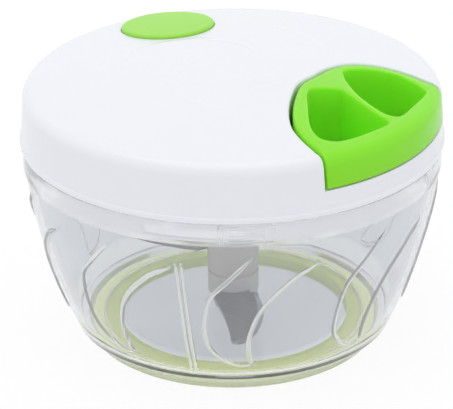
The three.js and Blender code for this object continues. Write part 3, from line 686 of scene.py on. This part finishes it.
def makeHandle():
    handle = lidSolid("pullHandle", handleForm["bottom"], 0.5)
    combined(handle, walled("side", sideOutline(0), handleForm["bottom"] - spare, handleForm["edge"], -1), "INTERSECT")
    low, high, thickness = handleForm["deep"], handleForm["wellFloor"], handleForm["deepWall"]
    back = handleForm["deepBack"]
    past, wide = 70, 40  # the ramp's cutter ends well past the rim and the wells
    outline = [(back, low), (slopeReach(low), low), (slopeReach(high), high), (back, high)]
    deep = slab("deep", outline, *handleForm["deepSides"])
    combined(deep, walled("side", sideOutline(-0.02), low - spare, handleForm["edge"], -1), "INTERSECT")
    hull = lidSolid("hull", low - 1, 0.3)
    for vert in hull.data.vertices:
        vert.co.xy *= 0.9995  # keeps the two outer faces apart
    combined(deep, hull, "INTERSECT")
    added(handle, deep)
    low += handleForm["deepFloor"]
    ramp = [(slopeReach(low, thickness), low - spare), (past, low - spare), (past, high),
            (slopeReach(high, thickness), high), (slopeReach(low, thickness), low)]
    for well in ("nearWell", "farWell"):
        cutter = walled(well, outwardLoop(handleForm[well], 120), low, handleForm["wellEdge"], 1, 0.8)
        cut(cutter, slab("ramp", ramp, -wide, wide))
        cut(handle, cutter)
    x, y, z = cordLine["knot"]
    low, high, radius = cordLine["knotRoom"]
    cut(handle, roundBar("knotRoom", (x, y, low), (x, y, high), radius))
    cut(handle, roundBar("cordHole", (cordLine["holeStart"], y, z), (x, y, z), cordLine["hole"]))
    return smoothed(mended(handle))


# Whether a point in mm lies inside a closed outline
def within(x, y, outline):
    inside = False
    for (a, _), (b, _) in zip(outline, outline[1:] + outline[:1]):
        if (a.y > y) != (b.y > y) and x < a.x + (b.x - a.x) * (y - a.y) / (b.y - a.y):
            inside = not inside
    return inside


wells = [outwardLoop(handleForm[name], 60) for name in ("nearWell", "farWell")]


# Faces inside the wells take the lighter green, painted light in the wells' shade; the rest keep the handle's green
def pickLightenedWells(face):
    x, y, z = (face.center + face.normal * 0.3 * mm) / mm
    inside = face.normal.z > -0.3 and depthInLid(x, y, z) > 0.5 and any(within(x, y, well) for well in wells)
    return "well" if inside else "green"


handle = settled(makeHandle(), "handle", "handle_green", "green", "pull_handle")
# The wells get painted light: a lighter copy of the green on the same moulded piece
dressed(handle, ("green", "well"), pickLightenedWells)
print("handle made")


# Lid
badgeForm = {"radius": 14.2, "place": 43.6, "angle": 152, "proud": 1.0, "recess": 0.9, "gap": 0.25, "edge": 0.7}
badgeSpot = Vector(polar(badgeForm["angle"], 1)) * badgeForm["place"]
reliefForm = {"arms": 3, "start": 196, "inner": 7, "outer": 41, "sweep": 165, "height": 0.3, "width": 0.8,
              "limit": 18.5}
bossForm = {"angles": (55, 125, 235, 305), "place": 50, "low": 64.15, "high": 78.5, "radius": 3.6,
            "middle": (78.0, 82.2, 4.6)}


# Height of the faint whirl moulded into the crown
def relief(x, y):
    r, angle = math.hypot(x, y), math.degrees(math.atan2(y, x))
    best = 0
    for arm in range(reliefForm["arms"]):
        along = (angle - reliefForm["start"] - arm * 360 / reliefForm["arms"]) % 360 / reliefForm["sweep"]
        if along > 1:
            continue
        middle = reliefForm["inner"] + (reliefForm["outer"] - reliefForm["inner"]) * along ** 0.8
        width = reliefForm["width"] * (0.6 + 1.2 * math.sin(math.pi * along))
        fade = min(1, along * 6, (1 - along) * 4)
        best = max(best, fade * math.exp(-((r - middle) / width) ** 2))
    clear = (Vector((x, y)) - badgeSpot).length - badgeForm["radius"]
    byBadge, byHandle = (max(0, min(1, share)) for share in ((clear - 1) / 3, (reliefForm["limit"] - x) / 4))
    return reliefForm["height"] * best * byBadge * byHandle


def makeTopCover():
    rim, lip, seam, wall = (lidForm[key] for key in ("rim", "lipTop", "seam", "wall"))
    corners = lidOutline(0, 80) + [(skirtFoot, lip, 0.25), (rim, lip - 0.4, 0.25), (rim, seam, 0.3),
                                   (skirtFoot - wall, seam, 0.3)] + lidOutline(-wall, 24, 4)[::-1]
    cover = spun("topCover", rounded(corners), 192)
    for vert in cover.data.vertices:
        x, y, z = vert.co / mm
        if z > surfaceHeight(math.hypot(x, y)) - 0.2 and math.hypot(x, y) < domeEdge:
            vert.co.z += relief(x, y) * mm
    roof = lidSolid("roof", handleForm["deep"], 0.3)
    inside, eaves, reach = wall / 2, 72, 62  # what stands above the eaves also moves down
    for vert in roof.data.vertices:
        vert.co.x *= 1 - inside / reach
        vert.co.y *= 1 - inside / reach
        if vert.co.z > eaves * mm:
            vert.co.z -= inside * mm
    block = walled("block", sideOutline(handleForm["gap"] + handleForm["pocketWall"]), handleForm["deep"] - 1, 0.01, 1)
    combined(roof, block, "INTERSECT")
    added(cover, roof)
    bosses = []
    for angle in bossForm["angles"]:
        x, y = polar(angle, bossForm["place"])
        bosses.append(roundBar("boss", (x, y, bossForm["low"]), (x, y, bossForm["high"]), bossForm["radius"], 24))
    low, high, radius = bossForm["middle"]
    bosses.append(roundBar("boss", (0, 0, low), (0, 0, high), radius, 24))
    added(cover, joined(bosses))
    low, high = handleForm["deep"] - spare, handleForm["sill"]
    pocket = walled("pocket", sideOutline(handleForm["gap"]), low, handleForm["pocketEdge"], 1)
    low -= spare
    sill, past = handleForm["sillEdge"], 90
    skirt = spun("skirt", [(sill, low), (past, low), (past, high), (sill, high)], 192)
    cut(pocket, skirt)
    cut(cover, pocket)
    y, z, (near, far, radius) = (cordLine[key] for key in ("side", "height", "eyeletHole"))
    cut(cover, roundBar("eyeletHole", (near, y, z), (far, y, z), radius))
    recess = badgeBody("recess", badgeForm["radius"] + badgeForm["gap"], -badgeForm["recess"], 4, 0.05)
    cut(cover, recess)
    return smoothed(mended(cover))


# A disc that follows the crown, from one offset to another, at the badge's place
def badgeBody(name, radius, low, high, edge):
    top = [(radius * i / 10, high) for i in range(10)]
    bottom = [(radius * (9 - i) / 10, low) for i in range(10)]
    disc = spun(name, rounded(top + [(radius, high, edge), (radius, low, edge * 0.3)] + bottom), 96)
    for vert in moved(disc, *badgeSpot).data.vertices:
        vert.co.z = (vert.co.z / mm + domeHeight(vert.co.xy.length / mm)) * mm
    return disc


settled(makeTopCover(), "lid", "lid_white", "lid", "top_cover")
badge = badgeBody("lidBadge", badgeForm["radius"], -badgeForm["recess"] + 0.3, badgeForm["proud"], badgeForm["edge"])
settled(smoothed(badge), "lid", "badge_green", "badge", "lid_badge")
print("lid made")

coverForm = {"plate": (62.05, 63.85, 59.8), "plug": (56.7, 58.5, 55.0), "bearing": (5.6, 8.0, 54.05), "arborTop": 70.3,
             "lugs": (-51.5, 12.4, 57.6, 60.0, 56.85, 59.25), "springSlot": (12, 0.55, 64.6, 68, 72)}


def makeLowerCover():
    low, high, reach = coverForm["plate"]
    inner, outer, foot = coverForm["plug"]
    bore, boss, bossFoot = coverForm["bearing"]
    top = coverForm["arborTop"]
    cover = spun("lowerCover", rounded([
        (bore, bossFoot, 0.3), (boss, bossFoot, 0.5), (boss, low, 0.8), (inner, low, 0.8), (inner, foot, 0.5),
        (outer, foot, 0.5), (outer, low, 0.2), (reach, low, 0.3), (reach, high, 0.3), (boss, high, 0.5),
        (boss, top, 0.4), (bore, top, 0.3)]), 192)
    first, width, near, far, lugLow, lugHigh = coverForm["lugs"]
    half = math.degrees(width / 2 / outer)
    lugs = []
    for i in range(4):
        corners = [(near, lugLow), (far, lugLow), (far, lugHigh), (near, lugHigh)]
        lug = spun("lug", corners, 12, first + 90 * i - half, 2 * half)
        outward = lambda edge: all(v.co.xy.length > (outer + 0.5) * mm for v in edge.verts)
        lugs.append(bevelled(lug, outward, 0.4, 3))
    added(cover, joined(lugs))
    reach, half, low, middle, high = coverForm["springSlot"]
    slot = roundBar("slot", (0, 0, middle), (reach, 0, middle), 1, 4)
    for vert in slot.data.vertices:
        vert.co.y = half * mm * (1 if vert.co.y > 0 else -1)
        vert.co.z = (high if vert.co.z > middle * mm else low) * mm
    cut(cover, slot)
    return smoothed(mended(cover))


settled(makeLowerCover(), "lid", "inner_white", "inner", "lower_cover")
print("lower cover made")

# Bowl
bowlForm = {"rim": 61.75, "band": 54.95, "bandRadius": 61.8, "topRadius": 61.3, "wall": 2.2, "baseRadius": 47.6,
            "base": 4.8, "bulge": 2.35, "floor": (4.2, 6.4), "disc": 34.6, "recess": 39.7, "foot": (43.8, 44.6, 0.5),
            "boss": (5.5, 10.6), "pin": (2.15, 8.1)}
ribForm = {
    "radius": 0.8, "sink": 0.3, "petals": 9,
    "left": [(-84, 51.4), (-91, 43.4), (-96, 37.2), (-97.4, 32.1), (-98, 26.5), (-97, 19.3), (-92.4, 14.1),
             (-88, 12.0), (-83.4, 12.1)],
    "right": [(-83.4, 12.1), (-84.6, 15.5), (-85, 21.2), (-84, 26.5), (-82, 31.9), (-79, 36.6), (-75, 40.9),
              (-72, 43.6), (-66, 47.0)],
    "straight": [[(-104.8, 49), (-104, 28), (-103.4, 7.6)], [(-103.3, 49), (-102.5, 28), (-101.9, 7.6)]],
    "turn": 34.9,
}
frameForm = {"radius": 0.34, "sink": 0.1, "outer": (-58.2, -43.8, 55.6, 60.9), "inner": (-57.0, -46.3, 55.6, 60.9),
             "lines": (56.7, 58.1, 59.5)}
grooveForm = {"side": 1.2, "gap": 0.3, "middle": 58.5, "inner": 54, "outer": 60.3, "top": 66, "track": 20}


def wallRadius(z):
    t = (z - bowlForm["base"]) / (bowlForm["band"] - bowlForm["base"])
    straight = bowlForm["baseRadius"] + (bowlForm["topRadius"] - bowlForm["baseRadius"]) * t
    return straight + bowlForm["bulge"] * 4 * t * (1 - t)


# Azimuth and height pairs carried onto the wall's outer face, in mm
def wallPath(points, samples):
    return [(*polar(spot.x + ribForm["turn"], wallRadius(spot.y) - ribForm["sink"]), spot.y)
            for spot, _ in smoothPath(points, samples)]


# A raised line between two places on the rim band, given as azimuth and height
def bandLine(start, end):
    path = []
    for i in range(17):
        turn, z = (a + (b - a) * i / 16 for a, b in zip(start, end))
        path.append((*polar(turn, bowlForm["bandRadius"] - frameForm["sink"]), z))
    return swept("bandLine", path, frameForm["radius"], 12)


# The frame over the front lug, with its three cross lines
def bandFrame():
    lines = []
    for side in ("outer", "inner"):
        left, right, low, high = frameForm[side]
        lines += [bandLine((left, low), (left, high)), bandLine((right, low), (right, high))]
    left, right, low, high = frameForm["outer"]
    lines += [bandLine((left, z), (right, z)) for z in (low, high)]
    left, right = frameForm["inner"][:2]
    lines += [bandLine((left + 1.5, z), (right, z)) for z in frameForm["lines"]]
    return lines


# The bowl's closed profile, from the floor's underside round to the pin's hole
def bowlProfile():
    floorLow, floorHigh = bowlForm["floor"]
    bossRadius, bossTop = bowlForm["boss"]
    pinRadius, pinFoot = bowlForm["pin"]
    footLow, footHigh, footFace = bowlForm["foot"]
    base, band, bandRadius, rim, wall, disc, recess = (
        bowlForm[key] for key in ("base", "band", "bandRadius", "rim", "wall", "disc", "recess"))
    levels = [base + 1 + (band - base - 1) * i / 24 for i in range(25)]
    outer = [(wallRadius(z), z) for z in levels]
    inner = [(wallRadius(z) - wall, z) for z in reversed(levels) if z > floorHigh + 4.5]
    under = [(0, floorLow), (disc, floorLow), (recess, floorLow, 0.4), (recess, footFace, 0.3),
             (footLow, footFace, 0.8), (footHigh, base, 0.5), (bowlForm["baseRadius"] + 0.1, base, 0.8)]
    top = [(bandRadius, band, 0.2), (bandRadius, rim, 0.5), (bowlForm["topRadius"] - wall, rim, 0.5)]
    inside = [(wallRadius(floorHigh) - wall, floorHigh, 4.0), (disc, floorHigh), (bossRadius, floorHigh, 0.6),
              (bossRadius, bossTop, 0.5), (pinRadius, bossTop, 0.15), (pinRadius, pinFoot, 0.3), (0, pinFoot)]
    return under + outer + top + inner + inside


def makeBowl():
    bowl = spun("clearBowl", rounded(bowlProfile(), 5), 192)
    ribs = []
    for i in range(ribForm["petals"]):
        shift = 360 * i / ribForm["petals"]
        for side in ("left", "right"):
            points = [(a + shift, z) for a, z in ribForm[side]]
            ribs.append(swept("rib", wallPath(points, 44), ribForm["radius"], 12, 3))
    for points in ribForm["straight"]:
        ribs.append(swept("rib", wallPath(points, 30), ribForm["radius"] * 0.8, 12, 2))
    for rib in ribs + bandFrame():
        added(bowl, rib)
    first, width, _, _, lugLow, lugHigh = coverForm["lugs"]
    half = math.degrees((width / 2 + grooveForm["side"]) / grooveForm["middle"])
    near, far, top = grooveForm["inner"], grooveForm["outer"], grooveForm["top"]
    low, high = lugLow - grooveForm["gap"], lugHigh + grooveForm["gap"]
    drop = [(near, low), (far, low), (far, top), (near, top)]
    track = [(near - 0.2, low - 0.01), (far - 0.01, low - 0.01), (far - 0.01, high), (near - 0.2, high)]
    for i in range(4):
        middle = first + 90 * i
        cut(bowl, spun("drop", drop, 16, middle - half, 2 * half))
        cut(bowl, spun("track", track, 28, middle, half + grooveForm["track"]))
    return smoothed(mended(bowl), 40)


def bowlLook(face):
    x, y, z = face.center / mm
    r = math.hypot(x, y)
    footEdge, _, footFace = bowlForm["foot"]
    if z < footFace + 0.1 and r < footEdge - 0.4:
        return "foot"
    # The bowl's outer foot takes the milky band finish, painted light
    if z < bowlForm["base"] and r > footEdge - 0.5:
        return "band"
    if z < bowlForm["floor"][1] + 4.1 and r > bowlForm["boss"][0] + 1:
        return "base" if r > bowlForm["disc"] else "floor"
    # Rib faces take the milky rib finish, a painted highlight
    if bowlForm["base"] + 1 < z < bowlForm["band"] - 0.5 and r > wallRadius(z) + 0.06:
        return "rib"
    # The rim band takes the milky band finish: painted light, as from the lit cover behind it
    if z > bowlForm["band"] and r > bowlForm["topRadius"]:
        return "band"
    # The rim's top takes the milky rib finish too, a painted highlight
    if z > bowlForm["band"] and r > bowlForm["topRadius"] - bowlForm["wall"] + 0.2:
        return "rib"
    return "clear"


bowl = settled(makeBowl(), "base", "clear_bowl", "clear", "bowl")
dressed(bowl, ("clear", "rib", "band", "base", "floor", "foot"), bowlLook)

# Foot ring
footForm = {"inner": 34.5, "outer": 39.4, "height": 3.9}
inner, outer, height = footForm.values()
foot = spun("footRing", rounded([(inner, 0, 0.5), (outer, 0, 0.5), (outer, height, 0.4), (inner, height, 0.6)]), 160)
settled(smoothed(foot), "base", "foot_green", "foot", "foot_ring")
# The ring's outer side takes the paler copy of its green: painted light on a ring of one material
dressed(foot, ("foot", "footSideLightened"), lambda face: "footSideLightened" if face.center.xy.length > (outer - 0.3) * mm else "foot")
print("bowl made")

# Blades
postForm = {"bottom": 10.9, "radius": 7.7, "shoulder": 43.4, "neck": 5.0, "neckFoot": 45.9, "neckTop": 48.9,
            "hexRadius": 3.4, "hexTop": 58.9, "bore": (2.4, 19.7), "joint": (18.1, 18.9, 0.55)}
bladeForm = {"root": 8.0, "reach": 38, "width": 14, "tongue": 9, "inner": 4.2, "thickness": 1.0,
             "levels": (12.5, 25.0, 37.5), "first": -51.5, "turn": -120, "grind": 1.6, "ground": 0.85, "slotGap": 0.02,
             "edge": [(0, 0.5), (0.2, 0.56), (0.45, 0.54), (0.7, 0.42), (0.9, 0.22), (1, 0), (0.97, -0.17), (0.8, -0.2),
                      (0.55, -0.26), (0.3, -0.35), (0.12, -0.44), (0, -0.5)]}


def makePost():
    bore, boreTop = postForm["bore"]
    jointLow, jointHigh, jointDepth = postForm["joint"]
    bottom, radius, neck, neckTop, hexTop = (postForm[key] for key in ("bottom", "radius", "neck", "neckTop", "hexTop"))
    post = spun("bladePost", rounded([
        (0, boreTop), (bore, boreTop, 0.3), (bore, bottom, 0.3), (radius, bottom, 0.6), (radius, jointLow, 0.15),
        (radius - jointDepth, jointLow, 0.1), (radius - jointDepth, jointHigh, 0.1), (radius, jointHigh, 0.15),
        (radius, postForm["shoulder"], 1.0), (neck, postForm["neckFoot"], 0.8), (neck, neckTop, 0.5),
        (0, neckTop)]), 96)
    hexagon = roundBar("hex", (0, 0, neckTop - 0.5), (0, 0, hexTop), postForm["hexRadius"], 6)
    bevelled(hexagon, lambda edge: max(v.co.z for v in edge.verts) > (hexTop - 0.4) * mm, 0.4, 2)
    added(post, turned(hexagon, 30))
    for i, level in enumerate(bladeForm["levels"]):
        cut(post, bladeBlank("slot", level, i, bladeForm["slotGap"]))
    return smoothed(mended(post))


def bladeTurn(i):
    return math.radians(bladeForm["first"] + bladeForm["turn"] * i)


# The flat sickle outline, extruded to its thickness
def bladeBlank(name, level, i, grow=0.0):
    root, length = bladeForm["root"], bladeForm["reach"] - bladeForm["root"]
    half = bladeForm["tongue"] / 2
    edge = smoothPath([(root + length * a, bladeForm["width"] * b) for a, b in bladeForm["edge"]], 60)
    inner = bladeForm["inner"]
    points = [Vector((inner, half)), Vector((root - 0.4, half))] + [place for place, _ in edge] + [
        Vector((root - 0.4, -half)), Vector((inner, -half))]
    turn = Matrix.Rotation(bladeTurn(i), 2)
    blank = flatFace(name, [(*(turn @ point), level - grow) for point in points])
    return mended(extruded(blank, (0, 0, (bladeForm["thickness"] + 2 * grow) * mm)))


def makeBlade(name, i):
    level = bladeForm["levels"][i]
    blade = bladeBlank(name, level, i)
    top = (level + bladeForm["thickness"]) * mm
    edit(blade, "FACE")
    select(blade, faces=lambda face: face.calc_center_median().z > top - 1e-6)
    bpy.ops.mesh.inset(thickness=bladeForm["grind"] * mm)
    done()
    turn = Matrix.Rotation(-bladeTurn(i), 2)
    flats = [face for face in blade.data.polygons if len(face.vertices) > 8 and face.center.z > top - 1e-6]
    inset = {v for face in flats for v in face.vertices}
    for vert in blade.data.vertices:
        spot = turn @ (vert.co.xy / mm)
        if vert.co.z > top - 1e-6 and vert.index not in inset and spot.x > bladeForm["root"] and spot.y > -1:
            vert.co.z = top - bladeForm["ground"] * mm
    return smoothed(blade, 20)


settled(makePost(), "blades", "post_grey", "post", "blade_post")
for i, level in enumerate(("lower", "middle", "upper")):
    settled(makeBlade("blade" + level.capitalize(), i), "blades", "blade_steel", "blade", "blade_" + level)
print("blades made")

# Cord
windForm = {"radius": 18.0, "turns": 2.5, "pitch": 1.95, "bend": 1.2, "pocket": 22.375, "inner": 19.975}


def makeCords():
    drum, pitch = windForm["radius"], windForm["pitch"]
    bendX, bendY = windForm["inner"] - windForm["bend"], cordLine["side"]
    leaving = math.atan2(bendY, bendX) + math.acos(drum / math.hypot(bendX, bendY))
    height, radius = cordLine["height"], cordLine["radius"]
    steps = int(48 * windForm["turns"])
    turns = [leaving + 2 * math.pi * windForm["turns"] * i / steps for i in range(steps + 1)]
    winding = [(drum * math.cos(a), drum * math.sin(a), height + pitch * (a - leaving) / (2 * math.pi)) for a in turns]
    settled(smoothed(swept("cordWinding", winding, radius, 16)), "drum", "cord_white", "cord", "cord_winding")
    start = Vector(winding[0][:2])
    along = Vector((math.sin(leaving), -math.cos(leaving)))
    reach = (Vector((bendX, bendY)) - start).length
    points = [(*(start + along * run), height) for run in (0.3, reach / 2, reach - 0.8)]
    points += [(bendX + 0.8, bendY, height), (bendX + 2, bendY, height), (windForm["pocket"] + 0.3, bendY, height)]
    lead = [place for place, _ in smoothPath(points, 30)]
    settled(smoothed(swept("cordLead", lead, radius, 16)), "lid", "cord_white", "cord", "cord_lead")
    first, last = windForm["pocket"] + 0.3, cordLine["knot"][0] - 1.5
    run = [(first + (last - first) * i / 90, bendY, height) for i in range(91)]
    piece = smoothed(swept("cordRun", run, radius, 16))
    piece.data.materials.append(finishes["cord"])
    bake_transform(piece)
    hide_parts("cord_run")
    (x, y, z), (reach, size, radius) = cordLine["knot"], cordLine["knotSize"]
    loop = [2 * math.pi * i / 90 for i in range(90)]
    knot = [(x + math.sin(3 * t) * reach, y + (math.cos(t) - 2 * math.cos(2 * t)) * size,
             z + (math.sin(t) + 2 * math.sin(2 * t)) * size) for t in loop]
    knot = smoothed(swept("cordKnot", knot, radius, 12, closed=True))
    settled(knot, "handle", "cord_white", "cord", "cord_knot")


makeCords()
print("cords made")

# Drive pieces
socketForm = {"radius": 5.2, "bottom": 49.55, "top": 66.3, "flange": (7.6, 52.55, 53.75), "hexRadius": 3.8,
              "hexTop": 62.3}
screwForm = {"seat": 61.75, "head": (2.6, 1.6), "shank": (1.3, 7.4, 8.7), "cross": (1.6, 1.5, 0.7)}
eyeletForm = {"bore": 1.15, "body": 2.2, "flange": (2.8, 0.6)}


def makeSocket():
    radius, bottom, top = socketForm["radius"], socketForm["bottom"], socketForm["top"]
    flange, low, high = socketForm["flange"]
    socket = spun("driveSocket", rounded([
        (0, bottom), (radius, bottom, 0.4), (radius, low, 0.3), (flange, low, 0.4), (flange, high, 0.3),
        (radius, high, 0.2), (radius, top, 0.3), (0, top)]), 96)
    hexagon = roundBar("hex", (0, 0, 45), (0, 0, socketForm["hexTop"]), socketForm["hexRadius"], 6)
    cut(socket, turned(hexagon, 30))
    return smoothed(mended(socket))


# A pan-head screw that points up, with a cross in its head
def makeScrew(name, x, y):
    seat, (head, height), (shank, threadTop, tip) = (screwForm[key] for key in ("seat", "head", "shank"))
    reach, depth, size = screwForm["cross"]
    screw = spun(name, rounded([(0, seat - height), (head, seat - height, 0.9), (head, seat, 0.15), (shank, seat, 0.1),
                                (shank, seat + threadTop), (0, seat + tip)]), 48)
    for turn in (0, 90):
        arm = roundBar("arm", (-reach, 0, seat - depth), (reach, 0, seat - depth), size, 4)
        for vert in arm.data.vertices:
            vert.co.y *= 0.5
        cut(screw, turned(arm, turn))
    return smoothed(mended(moved(screw, x, y)))


def makeEyelet():
    first, last = windForm["inner"], windForm["pocket"] + 0.3
    bore, body, (flange, lip) = eyeletForm.values()
    ring = spun("cordEyelet", rounded([(bore, first, 0.2), (flange, first, 0.2), (flange, first + lip, 0.2),
                                       (body, first + lip, 0.05), (body, last, 0.3), (bore, last, 0.3)]), 48)
    for vert in ring.data.vertices:
        x, y, z = vert.co
        vert.co = (z, cordLine["side"] * mm + y, cordLine["height"] * mm - x)
    return smoothed(mended(ring))


settled(makeSocket(), "drum", "socket_white", "socket", "drive_socket")
for i, angle in enumerate(bossForm["angles"], 1):
    screw = makeScrew(f"coverScrew{i}", *polar(angle, bossForm["place"]))
    settled(screw, "lid", "screw_steel", "screw", f"cover_screw_{i}")
settled(makeEyelet(), "lid", "eyelet_metal", "eyelet", "cord_eyelet")
# CAD nodes that keep their own shapes
keptLooks = {"blade_pivot_pin": "pin", "spindle_pin": "pin", "drive_screw": "screw", "drive_washer": "screw",
             "mainspring": "spring", "cord_drum": "inner"}
for name, finish in keptLooks.items():
    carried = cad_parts[name]
    carried.data.materials.clear()
    carried.data.materials.append(finishes[finish])
print("drive pieces made")

# Stage and light
lightForm = {"world": 0.84, "floor": 0.9, "floorGlow": 0.87, "floorLit": 0.14, "floorSize": 8, "floorGap": 0.0002,
             "room": (0.97, 0.98, 1, 1), "key": (-0.05, -0.1, 1.1), "keySize": 1.0, "keyPower": 2.6,
             "keyAim": (0, 0, 0.05)}


# 1 for the rays that see the white of the floor and the backdrop
def seenRays(tree):
    path = node(tree, "LightPath")
    rays = maths(tree, "ADD", path.outputs["Is Camera Ray"], path.outputs["Is Glossy Ray"])
    return maths(tree, "ADD", rays, path.outputs["Is Transmission Ray"], True)


def makeStage():
    bpy.ops.object.select_all(action="DESELECT")
    bpy.ops.mesh.primitive_plane_add(size=lightForm["floorSize"], location=(0, 0, -lightForm["floorGap"]))
    floor = bpy.context.object
    floor.name = "paleFloor"
    pale = bpy.data.materials.new("paleFloor")
    pale.use_nodes = True
    tree = pale.node_tree
    glow = node(tree, "Emission", Color=(1, 1, 1, 1), Strength=lightForm["floorGlow"])
    lit = node(tree, "BsdfDiffuse", Color=(lightForm["floorLit"],) * 3 + (1,))
    white = node(tree, "AddShader", (0, glow.outputs[0]), (1, lit.outputs[0]))
    principled = tree.nodes["Principled BSDF"]
    principled.inputs["Base Color"].default_value = (lightForm["floor"],) * 3 + (1,)
    principled.inputs["Roughness"].default_value = 0.9
    blended(tree, seenRays(tree), principled, white)
    floor.data.materials.append(pale)
    world = bpy.data.worlds.new("softRoom")
    bpy.context.scene.world = world
    world.use_nodes = True
    tree = world.node_tree
    room = tree.nodes["Background"]
    room.inputs["Color"].default_value = lightForm["room"]
    room.inputs["Strength"].default_value = lightForm["world"]
    white = node(tree, "Background", Color=(1, 1, 1, 1), Strength=1.0)
    blended(tree, seenRays(tree), room, white, "World Output")
    bpy.ops.object.light_add(type="AREA", location=lightForm["key"])
    key = bpy.context.object
    key.data.size = lightForm["keySize"]
    key.data.energy = lightForm["keyPower"]
    toward = Vector(lightForm["keyAim"]) - key.location
    key.rotation_euler = toward.to_track_quat("-Z", "Y").to_euler()


makeStage()
bpy.context.scene.view_settings.view_transform = "Standard"
print("stage made")
